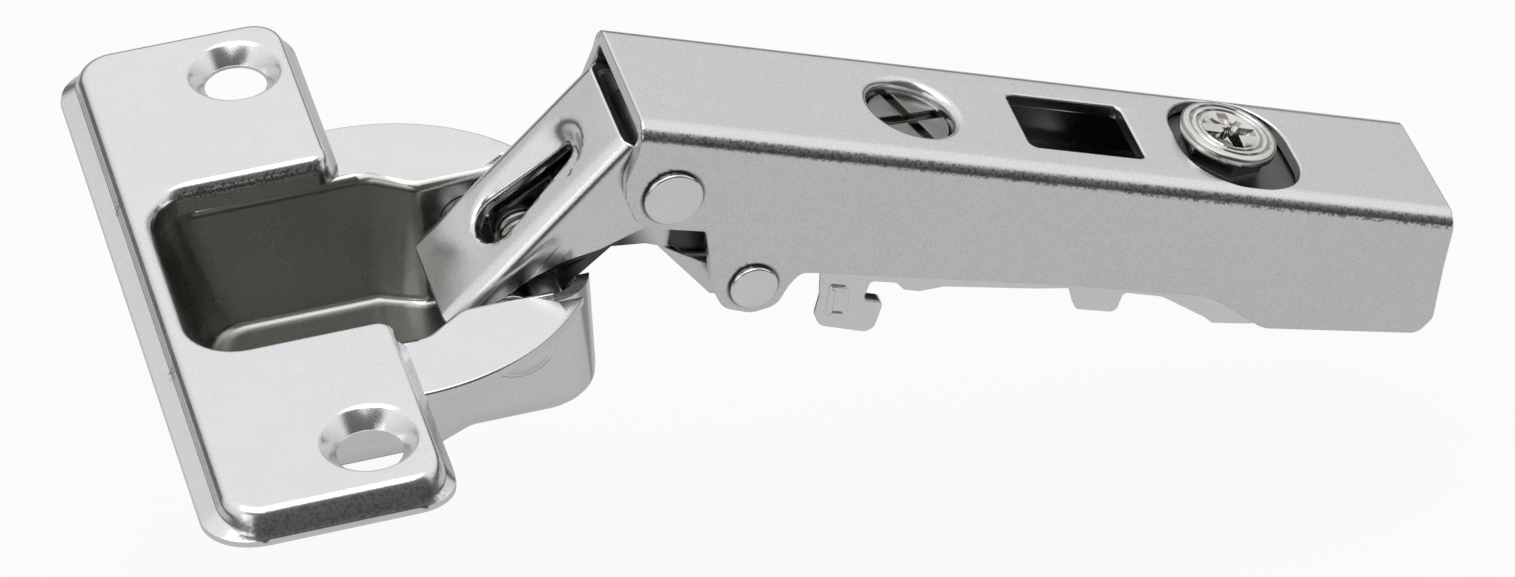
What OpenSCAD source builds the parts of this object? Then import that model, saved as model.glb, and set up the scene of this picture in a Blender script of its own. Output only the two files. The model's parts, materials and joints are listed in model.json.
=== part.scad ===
// Concealed cup hinge for a cabinet door, drawn fully open.
// The cup sits in a round boring in the door. Two pairs of pivots and two
// arched links carry the arm, which clips over a carriage on the cabinet side.
// Frame: X from the cup towards the arm, Y along the pivots, Z out of the door.
// The origin is the centre of the boring, in the surface of the door.

/* [Cup] */
// Radius of the half-moon wings that fill the boring
wing_r = 17.35; // [17.2:0.05:17.5]
// Thickness of the drawn sheet of the cup and its flange
cup_wall = 1; // [0.8:0.05:1.2]
// Depth of the floor of the cup below the door
cup_depth = 12; // [11.6:0.1:13.5]
// Half the width of the cup behind the links
cup_half_w = 10.3; // [10:0.1:10.8]
// Half the width of the cup between the pivots
throat_half_w = 7.9; // [7.7:0.05:8.3]
// Where the opening starts behind the centre of the boring
cup_back = 16.4; // [15.8:0.1:16.8]
// Where the inside of the front wall lies
cup_front = 14.8; // [14.7:0.1:15.2]
// Lean of the back wall over the depth of the cup
back_lean = 3.2; // [2.4:0.1:3.6]
// Lean of each side wall over the depth of the cup
side_lean = 0.8; // [0.4:0.1:1]
// Radius of the back corners of the cup
cup_corner_r = 4; // [3:0.1:4.4]
// Where the side walls start to draw in, forward of the centre of the boring
shoulder_x = 1.6; // [1.4:0.1:1.8]
// Length over which they draw in
shoulder_l = 3.4; // [3.2:0.1:3.6]
// Radius of the front corners of the cup
throat_corner_r = 2.4; // [2.2:0.1:2.6]
// Half the width of the notch in the front wall
notch_half_w = 6.2; // [6.1:0.1:6.8]
// Depth of the notch below the door
notch_depth = 4.9; // [4.6:0.1:5.6]
// Depth of the front corners below the door
front_drop = 0.7; // [0.4:0.1:1.2]

/* [Flange] */
// Height of the flange above the door
flange_h = 2.6; // [2.4:0.1:3]
// Width of the strip of the flange behind the opening
back_strip = 2.2; // [2.1:0.05:3]
// Front edge of the flange behind the centre of the boring
flange_front = 1; // [0.8:0.1:1.2]
// Half the length of the flat top of the flange
flange_half_l = 29.6; // [29:0.1:31]
// How far the skirt leans out on its way down to the door
skirt_lean = 1.2; // [0.8:0.1:1.4]
// Radius of the outer corners
flange_corner_r = 2.6; // [2:0.1:3.2]
// Radius rolled along the outer edge of the flange
flange_edge_r = 1.2; // [1:0.1:1.4]
// Distance between the two screw holes
hole_pitch = 48; // [47:0.5:49]
// Distance from the centre of the boring back to the screw holes
hole_back = 6; // [5.8:0.1:6.5]
// Radius of a screw hole
hole_r = 2.55; // [2.3:0.05:2.7]
// Radius of the countersink at the top
countersink_r = 3.85; // [3.6:0.05:4]
// Depth of the countersink
countersink_depth = 1.3; // [1.1:0.05:1.5]

/* [Pivots in the cup] */
// Outer link pivot, forward of the centre of the boring
cup_pivot_1_x = 9.05; // [8.9:0.05:9.2]
// Outer link pivot, depth below the door
cup_pivot_1_depth = 4.2; // [4:0.05:4.3]
// Inner link pivot, forward of the centre of the boring
cup_pivot_2_x = 12.25; // [12.15:0.05:12.35]
// Inner link pivot, depth below the door
cup_pivot_2_depth = 2.25; // [2.15:0.05:2.35]
// Radius of the two cup rivets of the outer link
cup_rivet_r = 1.5; // [1.3:0.05:1.6]
// Radius of their domed heads
cup_rivet_head_r = 3.15; // [2.8:0.05:3.2]
// Height of their domed heads
cup_rivet_head_h = 0.9; // [0.7:0.05:1]
// Radius of the pin of the inner link
cup_pin_r = 1.2; // [1:0.05:1.25]

/* [Arm] */
// Length of the top of the arm
arm_l = 73; // [72:0.5:75]
// Half the width over the sides of the arm
arm_half_w = 7.2; // [7.15:0.05:7.4]
// Thickness of the sheet of the arm
arm_wall = 1.2; // [1.1:0.05:1.25]
// Outside radius of the two long bends of the arm
arm_bend_r = 1.6; // [1.5:0.1:2]
// Angle of the arm below the door when the hinge is open
arm_tilt = 21.14; // [21:0.02:21.3]
// Front end of the top of the arm, forward of the centre of the boring
arm_x = 20.01; // [19.95:0.01:20.05]
// Front end of the top of the arm, above the door
arm_z = 13.44; // [13.4:0.01:13.48]
// Depth of the sides behind the pivots
side_depth = 12; // [11.8:0.1:12.2]
// Depth of the sides in the middle
side_mid_depth = 10.6; // [10.4:0.1:11]
// Depth of the sides at the back
side_back_depth = 13; // [12.6:0.1:13.2]
// Where the middle of the sides starts, along the arm
side_mid_u = 41; // [40:0.5:42]
// Where the deep back of the sides starts, along the arm
side_back_u = 60.1; // [59.7:0.1:60.4]

/* [Pivots in the arm] */
// Outer link pivot, along the arm
arm_pivot_1_u = 5.14; // [5.1:0.02:5.2]
// Outer link pivot, below the top of the arm
arm_pivot_1_depth = 6.1; // [6.06:0.02:6.16]
// Inner link pivot, along the arm
arm_pivot_2_u = 14.61; // [14.55:0.02:14.67]
// Inner link pivot, below the top of the arm
arm_pivot_2_depth = 13.7; // [13.64:0.02:13.76]
// Radius of the rivet of the outer link
arm_rivet_1_r = 1.5; // [1.3:0.05:1.6]
// Radius of its two heads
arm_rivet_1_head_r = 2.25; // [2.1:0.05:2.5]
// Radius of the rivet of the inner link
arm_rivet_2_r = 1.1; // [1:0.05:1.2]
// Radius of its two heads
arm_rivet_2_head_r = 1.85; // [1.7:0.05:2.1]
// Height of the rivet heads
arm_rivet_head_h = 0.8; // [0.6:0.05:0.9]
// Radius of the raised round boss about the front rivet
boss_r = 3.2; // [3:0.05:3.3]
// Radius of the lobe about the back rivet
lobe_r = 2.9; // [2.8:0.05:3.2]

/* [Outer link] */
// Play between the outer link and each side of the arm
link_1_play = 0.2; // [0.15:0.05:0.3]
// Thickness of the sheet of the outer link
link_1_wall = 1; // [0.9:0.05:1.1]
// Distance from the cup pivot up to the back of the link
link_1_rise_cup = 4.03; // [3.9:0.02:4.1]
// Distance from the arm pivot up to the back of the link
link_1_rise_arm = 5.9; // [5.8:0.02:6]
// How far the back of the link runs past the cup pivot
link_1_over_cup = 3.28; // [3:0.02:3.4]
// How far the back of the link runs past the arm pivot
link_1_over_arm = 1; // [0.7:0.02:1.1]
// Radius of the eye at the cup
link_1_eye_cup_r = 2.35; // [2.2:0.05:2.4]
// Radius of the eye at the arm
link_1_eye_arm_r = 2.9; // [2.6:0.05:3]
// Length of the slot stamped through the back of the link
link_1_slot_l = 9; // [8:0.2:9.6]
// Width of the slot
link_1_slot_w = 2.8; // [2.4:0.1:3]
// Length of the dished field round the slot
link_1_dish_l = 13.4; // [12.6:0.2:13.6]
// Width of the dished field
link_1_dish_w = 6; // [5.6:0.1:6.4]
// Depth of the dished field
link_1_dish_depth = 0.5; // [0.3:0.05:0.6]

/* [Inner link] */
// Half the width over the inner link
link_2_half_w = 4.4; // [4.3:0.05:4.45]
// Thickness of the sheet of the inner link
link_2_wall = 1; // [0.9:0.05:1.1]
// Radius of the eye at the cup
link_2_eye_cup_r = 2.2; // [2:0.05:2.2]
// Radius of the eye at the arm
link_2_eye_arm_r = 3.1; // [3:0.05:3.2]
// Height of the arch over the line between its pivots
link_2_arch = 6.5; // [6.3:0.05:6.6]
// Depth of the arched part
link_2_band = 3.5; // [3.2:0.05:3.6]
// Length of the play in the eye at the arm
link_2_play_l = 2.2; // [2.2:0.05:2.3]
// Height of the play in the eye at the arm
link_2_play_h = 0.85; // [0.85:0.05:0.95]

/* [Closing spring] */
// Diameter of the spring wire
wire_d = 0.9; // [0.8:0.05:1]
// Number of turns
coil_turns = 5; // [4:1:6]
// Gap between the pin and the coil
coil_play = 0.25; // [0.15:0.05:0.3]
// Length of the leg that stands on the cup
leg_cup_l = 7.2; // [6:0.1:7.4]
// Length of the leg that lifts the inner link
leg_link_l = 4.6; // [4:0.1:4.7]

/* [Carriage] */
// Half the width over the walls of the carriage
carriage_half_w = 5.8; // [5.6:0.05:5.85]
// Thickness of the sheet of the carriage
carriage_wall = 1.1; // [1:0.05:1.2]
// Depth of the web of the carriage below the top of the arm
carriage_drop = 6.2; // [6.1:0.05:6.5]
// Front end of the carriage, along the arm
carriage_front = 20.5; // [20.3:0.1:21]
// Back end of the carriage, along the arm
carriage_back = 66; // [65:0.5:68]
// Depth of the front hook below the top of the arm
hook_depth = 18; // [17.5:0.1:18.5]
// Depth of the lower edge of its walls below the top of the arm
carriage_edge = 11.8; // [11.6:0.1:12]
// How far the tab and the wedge hang below that edge
tab_drop = 2.1; // [1.9:0.1:2.3]
// Place of the tab, along the arm
tab_u = 42.6; // [42:0.2:43]
// Length of the tab
tab_l = 4.8; // [4.4:0.2:5]
// Place of the wedge, along the arm
wedge_u = 50.9; // [50.5:0.1:51.2]
// Travel of the carriage towards the cup
travel_in = 0.7; // [0.4:0.1:0.7]
// Travel of the carriage away from the cup
travel_out = 2.5; // [2:0.1:2.5]
// Depth of the trunnions on which the carriage rocks
trunnion_depth = 9.6; // [9.4:0.1:10]
// Radius of the trunnions
trunnion_r = 1.2; // [1:0.05:1.3]
// Length of the sprung leaf
leaf_l = 13; // [12.4:0.1:13.4]
// How far the sprung leaf reaches down
leaf_fall = 3.4; // [3:0.1:3.8]
// Thickness of the sprung leaf
leaf_t = 0.6; // [0.5:0.05:0.8]
// Half the width of the sprung leaf
leaf_half_w = 3; // [2.6:0.1:3.4]

/* [Side adjusting screw] */
// Place of the screw, along the arm
side_screw_u = 26; // [25.8:0.1:26.2]
// Radius of its head
side_screw_head_r = 3.5; // [3.3:0.05:3.6]
// Radius of its shank
side_screw_r = 2; // [1.8:0.05:2.1]
// Length from the top of the arm to its end
side_screw_l = 11.4; // [11:0.1:12]
// Depth of its head below the top of the arm
side_screw_sink = 1; // [0.8:0.05:1.1]
// Thickness of its head
side_screw_head_h = 1.3; // [1.2:0.05:1.35]
// Thickness of the drawn dimple under the head
dimple_wall = 0.9; // [0.7:0.05:0.95]
// Thickness of the ring that holds the screw
retainer_t = 0.6; // [0.5:0.05:0.65]
// End play of the screw in the dimple
end_play = 0.05; // [0.03:0.01:0.08]
// Thickness of the upper flange of the nut
nut_flange_t = 0.8; // [0.7:0.05:0.9]
// Thickness of the lower flange of the nut
nut_foot_t = 1.6; // [1.4:0.1:1.8]
// Play between the nut's flanges and the web
nut_play = 0.3; // [0.25:0.01:0.32]

/* [Fixing screw] */
// Place of the screw, along the arm
fix_screw_u = 54.1; // [54:0.1:54.2]
// Radius of its head
fix_screw_head_r = 4.7; // [4.4:0.05:4.8]
// Thickness of its head
fix_head_h = 1.25; // [1.1:0.05:1.28]
// Height of its head over the arm
fix_screw_rise = 1.3; // [1.3:0.05:1.6]
// Radius of the collar that passes through the port
fix_collar_r = 3.6; // [3.3:0.05:3.6]
// Radius of its shank
fix_screw_r = 2.5; // [2.3:0.05:2.6]
// Length of its shank below the top of the arm
fix_screw_l = 11.8; // [11.4:0.1:12.4]
// Length of the clamp plate
clamp_l = 13; // [12:0.2:14]
// Half the width of the clamp plate
clamp_half_w = 5.4; // [5:0.05:5.5]
// Thickness of the clamp plate
clamp_t = 1.5; // [1.3:0.05:1.7]
// Radial clearance of every turning fit
fit = 0.05; // [0.03:0.01:0.08]

/* [Hidden] */
$fn = 64;
eps = 0.01;

steel = [0.77, 0.76, 0.77];
zinc = [0.72, 0.74, 0.77];
dark = [0.2, 0.2, 0.2];

// Places of the pivots as [x, z]
cup_1 = [cup_pivot_1_x, -cup_pivot_1_depth];
cup_2 = [cup_pivot_2_x, -cup_pivot_2_depth];
function on_arm(u, w) = [
    arm_x + u * cos(arm_tilt) + w * sin(arm_tilt),
    arm_z - u * sin(arm_tilt) + w * cos(arm_tilt)
];
arm_1 = on_arm(arm_pivot_1_u, -arm_pivot_1_depth);
arm_2 = on_arm(arm_pivot_2_u, -arm_pivot_2_depth);

// The outer link's own frame has its origin at the cup pivot and X along its back
link_1_l = norm(arm_1 - cup_1);
link_1_fall = link_1_rise_arm - link_1_rise_cup;
link_1_angle = atan2(arm_1[1] - cup_1[1], arm_1[0] - cup_1[0])
    + asin(link_1_fall / link_1_l);
link_1_reach = sqrt(pow(link_1_l, 2) - pow(link_1_fall, 2));

// The inner link's own frame has X along the line between its pivots
link_2_l = norm(arm_2 - cup_2);
link_2_angle = atan2(arm_2[1] - cup_2[1], arm_2[0] - cup_2[0]);

arm_inner_w = arm_half_w - arm_wall;
link_1_half_w = arm_inner_w - link_1_play;
slide_play = 0.15;
floor_bend = 2;
coil_r = cup_pin_r + coil_play + wire_d / 2;

// A ring of points round the corners of a path, each corner an arc.
// Each corner is [x, y, r]; r is negative where the path turns right.
arc_steps = 4;
bend_steps = 4;
function unit(v) = v / norm(v);
function corner(a, b, c) =
    let (
        p = [b[0], b[1]],
        d1 = unit([a[0], a[1]] - p),
        d2 = unit([c[0], c[1]] - p),
        half = acos(max(-1, min(1, d1 * d2))) / 2,
        r = abs(b[2]),
        centre = p + unit(d1 + d2) * r / sin(half),
        t1 = p + d1 * r / tan(half),
        a1 = atan2(t1[1] - centre[1], t1[0] - centre[0]),
        turn = (b[2] < 0 ? -1 : 1) * (180 - 2 * half)
    )
    [for (i = [0:arc_steps]) centre + r * [cos(a1 + turn * i / arc_steps), sin(a1 + turn * i / arc_steps)]];
function round_path(path) =
    let (n = len(path))
    [for (i = [0:n - 1]) each corner(path[(i + n - 1) % n], path[i], path[(i + 1) % n])];

// A closed solid through a stack of rings that are alike in Y.
// A stack that turns back inside itself makes a shell with an open end.
// Each cap is a strip of flat pieces between the pairs of points that it is given.
module loft(rings, heights, pairs) {
    n = len(rings[0]);
    last = len(rings) - 1;
    points = [for (k = [0:last]) for (p = rings[k]) [p[0], p[1], heights[k]]];
    sides = [
        for (k = [0:last - 1]) for (i = [0:n - 1]) each [
            [k * n + i, (k + 1) * n + (i + 1) % n, k * n + (i + 1) % n],
            [k * n + i, (k + 1) * n + i, (k + 1) * n + (i + 1) % n]
        ]
    ];
    low_cap = [
        for (i = [0:len(pairs) - 2]) each [
            [pairs[i][0], pairs[i + 1][0], pairs[i + 1][1]],
            if (pairs[i][0] != pairs[i][1]) [pairs[i][0], pairs[i + 1][1], pairs[i][1]]
        ]
    ];
    top_cap = [for (t = low_cap) [last * n + t[2], last * n + t[1], last * n + t[0]]];
    polyhedron(points, concat(low_cap, sides, top_cap), convexity = 8);
}

// Puts a profile drawn in X and Z between two places on Y
module across(y0, y1) {
    translate([0, y1, 0]) rotate([90, 0, 0]) linear_extrude(y1 - y0) children();
}

// Both sides of the hinge
module both_sides() {
    children();
    mirror([0, 1, 0]) children();
}

module pin(r, y0, y1) {
    translate([0, y0, 0]) rotate([-90, 0, 0]) cylinder(r = r, h = y1 - y0);
}

module at(p) {
    translate([p[0], 0, p[1]]) children();
}

module in_arm() {
    translate([arm_x, 0, arm_z]) rotate([0, arm_tilt, 0]) children();
}

module in_link_1() {
    at(cup_1) rotate([0, -link_1_angle, 0]) children();
}

module in_link_2() {
    at(cup_2) rotate([0, -link_2_angle, 0]) children();
}

// A round-ended hole through the sheet, upright on Z
module oblong(l, w, h) {
    for (side = [-1, 1]) translate([side * (l - w) / 2, 0, 0]) cylinder(d = w, h = h);
    translate([-(l - w) / 2, -w / 2, 0]) cube([l - w, w, h]);
}

module round_square(size, r) {
    translate([r, 0]) square([size[0] - 2 * r, size[1]]);
    translate([0, r]) square([size[0], size[1] - 2 * r]);
    for (x = [r, size[0] - r]) for (y = [r, size[1] - r]) translate([x, y]) circle(r = r);
}

// A domed or flat rivet head that grows along +Y from the face it sits on
module rivet_head(r, h, edge) {
    rotate([-90, 0, 0]) rotate_extrude() {
        polygon(concat(
            [[0, 0], [r, 0], [r, h - edge]],
            [for (a = [15:15:90]) [r - edge + edge * cos(a), h - edge + edge * sin(a)]],
            [[0, h]]
        ));
    }
}

module dome_head(r, h) {
    ball_r = (r * r + h * h) / (2 * h);
    rotate([-90, 0, 0]) rotate_extrude() intersection() {
        translate([0, h - ball_r]) circle(r = ball_r, $fn = 96);
        square([r, h]);
    }
}

// Cup

shoulder_r = 2;
throat_x = shoulder_x + shoulder_l;

// Plan of the cup at one depth: grow is 0 on the inside and the sheet on the outside
function cup_ring(depth, grow, foot) =
    let (
        t = depth / cup_depth,
        out = grow - foot,
        back = -cup_back + back_lean * t - out,
        front = cup_front + out,
        wide = cup_half_w - side_lean * t + out,
        slim = throat_half_w + out
    )
    round_path([
        [back, -wide, cup_corner_r + grow], [shoulder_x, -wide, shoulder_r + grow],
        [throat_x, -slim, -shoulder_r],
        [front, -slim, throat_corner_r + grow], [front, slim, throat_corner_r + grow],
        [throat_x, slim, -shoulder_r],
        [shoulder_x, wide, shoulder_r + grow], [back, wide, cup_corner_r + grow]
    ]);

// Levels of one skin of the cup as [depth, how far the floor's bend pulls it in]
function cup_levels(grow, bend) = concat(
    [for (a = [0:90 / bend_steps:90]) [cup_depth + grow - bend * (1 - cos(a)), bend * (1 - sin(a))]],
    [[0, 0]]
);

// The drawn cup: up its outside to the door, and down its inside to the floor
module cup_bowl() {
    outside = [for (l = cup_levels(cup_wall, floor_bend + cup_wall)) [l[0], cup_wall, l[1]]];
    inside = [for (l = cup_levels(0, floor_bend)) [l[0], 0, l[1]]];
    levels = concat(outside, [for (i = [len(inside) - 1:-1:0]) inside[i]]);
    n = 8 * (arc_steps + 1);
    loft(
        [for (l = levels) cup_ring(l[0], l[1], l[2])],
        [for (l = levels) -l[0]],
        [for (i = [0:n / 2 - 1]) [i, n - 1 - i]]
    );
}

// Plan of the flange, which is open towards the arm. Out moves its outer edge
// outwards, lead its front edge, and gap its edge round the mouth of the cup.
function flange_ring(out, lead, gap) =
    let (
        back = -cup_back - back_strip - out,
        front = -flange_front + lead,
        half = flange_half_l + out,
        mouth = cup_half_w + gap,
        mouth_back = -cup_back - gap,
        r = flange_corner_r + out
    )
    round_path([
        [back, -half, r], [front, -half, r],
        [front, -mouth, throat_corner_r + lead], [mouth_back, -mouth, -(cup_corner_r + gap)],
        [mouth_back, mouth, -(cup_corner_r + gap)], [front, mouth, throat_corner_r + lead],
        [front, half, r], [back, half, r]
    ]);

// The roll round the mouth leaves a flat tenth of what the outer roll leaves of
// the strip behind it, and the front roll leaves the countersinks their flat.
mouth_edge_r = 0.9 * (back_strip - flange_edge_r);
front_edge_r = 0.7 * flange_edge_r;
skirt_slope = skirt_lean / (flange_h - flange_edge_r);
skirt_wall = 0.8 * cup_wall;
foot_flare = 0.25;
function rolled(wall, r, a) = wall + (r - wall) * (1 - cos(a));

// One skin of the flange as [height, out, lead, gap], from the door to the top.
// It lies drop under the flat top and wall inside the skirt.
function flange_skin(drop, wall) =
    let (
        r = flange_edge_r - wall,
        foot = flange_h - drop - r,
        flare = wall == 0 ? foot_flare : 0,
        low = skirt_slope * foot - wall + flare,
        knee = skirt_slope * (foot - flare)
    )
    concat(
        [[0, low, low, wall]],
        flare > 0 ? [[flare, knee, knee, wall]] : [],
        [
            for (a = [0:90 / bend_steps:90]) [
                foot + r * sin(a),
                -rolled(wall, flange_edge_r, a),
                -rolled(wall, front_edge_r, a),
                rolled(wall, mouth_edge_r, a)
            ]
        ]
    );

// The flange: down its inside to the door, and up its outside to the top
module flange() {
    inside = flange_skin(cup_wall, skirt_wall);
    skins = concat([for (i = [len(inside) - 1:-1:0]) inside[i]], flange_skin(0, 0));
    k = 4 * (arc_steps + 1);
    loft(
        [for (s = skins) flange_ring(s[1], s[2], s[3])],
        [for (s = skins) s[0]],
        concat(
            [for (i = [k / 2 - 1:-1:0]) [k - 1 - i, i]],
            [for (i = [0:k / 2 - 1]) [k + i, 2 * k - 1 - i]]
        )
    );
}

// The half-moons that lie in the mouth of the boring, from under the front edge
// of the flange to the cut that clears the throat of the cup
wing_back = 0.6;
wing_clear_w = throat_half_w + 2;
wing_clear_x = cup_front - 2.3;
module wings() {
    translate([0, 0, -cup_wall]) linear_extrude(cup_wall) difference() {
        circle(r = wing_r, $fn = 128);
        translate([-wing_r - 1, -wing_r - 1]) square([wing_r + 1 - wing_back, 2 * wing_r + 2]);
        polygon(cup_ring(0, cup_wall / 2, 0));
        polygon([
            [wing_clear_x - 2.3, -throat_half_w], [wing_clear_x, -wing_clear_w],
            [wing_r, -wing_clear_w], [wing_r, wing_clear_w],
            [wing_clear_x, wing_clear_w], [wing_clear_x - 2.3, throat_half_w]
        ]);
    }
}

// The dimple that carries the countersunk head of a wood screw
screw_dimple_wall = 0.9;
module screw_dimple() {
    translate([-hole_back, hole_pitch / 2, flange_h - cup_wall - screw_dimple_wall])
        cylinder(
            r1 = hole_r + screw_dimple_wall, r2 = countersink_r + screw_dimple_wall,
            h = screw_dimple_wall + cup_wall / 3
        );
}

module screw_hole() {
    translate([-hole_back, hole_pitch / 2, 0]) {
        translate([0, 0, -1]) cylinder(r = hole_r, h = flange_h + 2);
        translate([0, 0, flange_h - countersink_depth])
            cylinder(r1 = hole_r, r2 = countersink_r, h = countersink_depth);
        translate([0, 0, flange_h - eps]) cylinder(r = countersink_r, h = 1);
    }
}

module cup_shell() {
    color(steel) difference() {
        union() {
            cup_bowl();
            flange();
            wings();
            both_sides() screw_dimple();
        }
        both_sides() screw_hole();
        translate([cup_front - 2.6, -throat_half_w - 0.6, -front_drop])
            cube([6, 2 * throat_half_w + 1.2, 5]);
        translate([cup_front - 2, -notch_half_w, -notch_depth])
            cube([6, 2 * notch_half_w, notch_depth + 1]);
        at(cup_1) pin(cup_rivet_r, -20, 20);
        at(cup_2) pin(cup_pin_r, -20, 20);
    }
}

// Outside face of the cup's walls at the pivots
pivot_wall_y = throat_half_w + cup_wall;

module outer_link_cup_rivets() {
    color(zinc) both_sides() at(cup_1) {
        pin(cup_rivet_r, link_1_half_w - link_1_wall, pivot_wall_y + eps);
        translate([0, pivot_wall_y, 0]) dome_head(cup_rivet_head_r, cup_rivet_head_h);
    }
}

spacer_1_y = throat_half_w - 0.1;
module outer_link_cup_spacers() {
    color(zinc) both_sides() at(cup_1) difference() {
        pin(link_1_eye_cup_r - 0.1, link_1_half_w + fit, spacer_1_y);
        pin(cup_rivet_r + fit, 0, 20);
    }
}

module inner_link_cup_pin() {
    color(zinc) at(cup_2) pin(cup_pin_r, 0.1 - pivot_wall_y, pivot_wall_y - 0.1);
}

spring_half_l = coil_turns * wire_d / 2;
module inner_link_cup_spacers() {
    color(zinc) both_sides() at(cup_2) difference() {
        pin(coil_r, spring_half_l + wire_d / 2 + slide_play, link_2_half_w - link_2_wall - fit);
        pin(cup_pin_r + fit, 0, 20);
    }
}

// Closing spring: a wound wire with one leg down the front wall of the cup and
// one up under the web of the inner link
wire_sides = 8;
coil_steps = 16;
link_leg_angle = -20;
link_leg_way = [-sin(link_leg_angle), 0, cos(link_leg_angle)];
coil_sweep = 360 * coil_turns + link_leg_angle;
coil_count = coil_steps * coil_turns - 1;
function coil_point(a) = [
    coil_r * cos(a),
    -spring_half_l + 2 * spring_half_l * a / coil_sweep,
    coil_r * sin(a)
];
spring_path = concat(
    [for (k = [1, 0.5]) coil_point(0) + [0, 0, -k * leg_cup_l]],
    [for (i = [0:coil_count]) coil_point(i * coil_sweep / coil_count)],
    [for (k = [0.5, 1]) coil_point(coil_sweep) + k * leg_link_l * link_leg_way]
);
module wire(path, d) {
    n = len(path);
    tangents = [for (i = [0:n - 1]) unit(path[min(i + 1, n - 1)] - path[max(i - 1, 0)])];
    points = [
        for (i = [0:n - 1])
            let (
                t = tangents[i],
                side = unit(cross(t, [0, 1, 0])),
                up = cross(side, t)
            )
            for (k = [0:wire_sides - 1])
                path[i] + d / 2 * (cos(360 * k / wire_sides) * side + sin(360 * k / wire_sides) * up)
    ];
    faces = concat(
        [[for (k = [0:wire_sides - 1]) k]],
        [
            for (i = [0:n - 2]) for (k = [0:wire_sides - 1])
                let (a = i * wire_sides, m = (k + 1) % wire_sides)
                each [[a + k, a + wire_sides + m, a + m], [a + k, a + wire_sides + k, a + wire_sides + m]]
        ],
        [[for (k = [wire_sides - 1:-1:0]) (n - 1) * wire_sides + k]]
    );
    polyhedron(points, faces, convexity = 6);
}

module closing_spring() {
    color(dark) at(cup_2) wire(spring_path, wire_d);
}

// Outer link

module link_1_outline() {
    r1 = link_1_eye_cup_r;
    r2 = link_1_eye_arm_r;
    top = link_1_rise_cup;
    tip = [link_1_reach, -link_1_fall];
    polygon([
        [-link_1_over_cup, top], [tip[0] + link_1_over_arm, top],
        tip + r2 * [cos(22), sin(22)], tip, tip + r2 * [cos(110), -sin(110)],
        [9.9, -2.17], [9.15, -1.57], [6.8, 0.05], [4.2, 1.13],
        r1 * [cos(52), sin(52)], [0, 0], r1 * [cos(155), sin(155)],
        [-link_1_over_cup, top - 1.7]
    ]);
    circle(r = r1);
    translate(tip) circle(r = r2);
}

// Section of a bent channel: the back on top, open below
module channel_section(half_w, top, depth, wall, bend) {
    difference() {
        rounded_top(half_w, top, depth, bend);
        rounded_top(half_w - wall, top - wall, depth + 1, max(bend - wall, 0.2));
    }
}

module rounded_top(half_w, top, depth, bend) {
    translate([-half_w, top - depth]) square([2 * half_w, depth - bend]);
    translate([-half_w + bend, top - bend - eps]) square([2 * (half_w - bend), bend + eps]);
    for (side = [-1, 1]) translate([side * (half_w - bend), top - bend]) circle(r = bend);
}

// Runs a section drawn in Y and Z along X
module along(x0, x1) {
    translate([x0, 0, 0]) rotate([90, 0, 90]) linear_extrude(x1 - x0) children();
}

link_1_dish_mid = link_1_reach / 2 - 0.4;
module outer_link() {
    color(steel) in_link_1() difference() {
        union() {
            intersection() {
                along(-6, link_1_reach + 6)
                    channel_section(link_1_half_w, link_1_rise_cup, 14, link_1_wall, 1.2);
                across(-8, 8) link_1_outline();
            }
            translate([link_1_dish_mid, 0, link_1_rise_cup - link_1_wall - link_1_dish_depth])
                oblong(link_1_dish_l + 1.2, link_1_dish_w + 1.2, link_1_dish_depth + eps);
        }
        translate([link_1_dish_mid, 0, link_1_rise_cup - link_1_dish_depth]) {
            oblong(link_1_dish_l, link_1_dish_w, 5);
            translate([0.6, 0, -5]) oblong(link_1_slot_l, link_1_slot_w, 10);
        }
        pin(cup_rivet_r + fit, -20, 20);
        translate([link_1_reach, 0, -link_1_fall]) pin(arm_rivet_1_r + fit, -20, 20);
    }
}

// Inner link

link_2_top = [
    [2.4, link_2_arch - 1.6], [3.6, link_2_arch - 0.1], [10.2, link_2_arch],
    [link_2_l - 0.9, link_2_arch - 3.2]
];

module link_2_outline() {
    r1 = link_2_eye_cup_r;
    r2 = link_2_eye_arm_r;
    tip = [link_2_l, 0];
    low = link_2_arch - link_2_band;
    polygon([
        r1 * [cos(150), sin(150)], link_2_top[1], link_2_top[2],
        tip + r2 * [cos(38), sin(38)], tip, tip + r2 * [cos(105), -sin(105)],
        [link_2_l - 2.6, -2.6], [9.2, low - 0.3], [8.2, low], [5.4, low],
        r1 * [cos(10), -sin(10)], [0, 0]
    ]);
    circle(r = r1);
    translate(tip) circle(r = r2);
}

// The web that ties the two cheeks of the inner link
module link_2_web() {
    offset_path = [for (p = link_2_top) p + [-0.3, -link_2_wall]];
    n = len(offset_path);
    polygon(concat(link_2_top, [for (i = [n - 1:-1:0]) offset_path[i]]));
}

module inner_link() {
    color(steel) in_link_2() difference() {
        union() {
            for (y0 = [-link_2_half_w, link_2_half_w - link_2_wall])
                across(y0, y0 + link_2_wall) link_2_outline();
            across(-link_2_half_w, link_2_half_w) intersection() {
                link_2_web();
                link_2_outline();
            }
        }
        pin(cup_pin_r + fit, -20, 20);
        translate([link_2_l, 0, 0]) link_2_play();
    }
}

// The long hole at the open pivot, laid along the way the pin moves in it
play_angle = -20.5;
play_centre = [0.1, 0.15];
module link_2_play() {
    r = arm_rivet_2_r + fit + link_2_play_h / 2;
    translate([play_centre[0], 0, play_centre[1]]) rotate([0, -play_angle, 0]) across(-20, 20) {
        for (x = [-link_2_play_l / 2, link_2_play_l / 2]) translate([x, 0]) circle(r = r);
        translate([-link_2_play_l / 2, -r]) square([link_2_play_l, 2 * r]);
    }
}

// Arm

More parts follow.
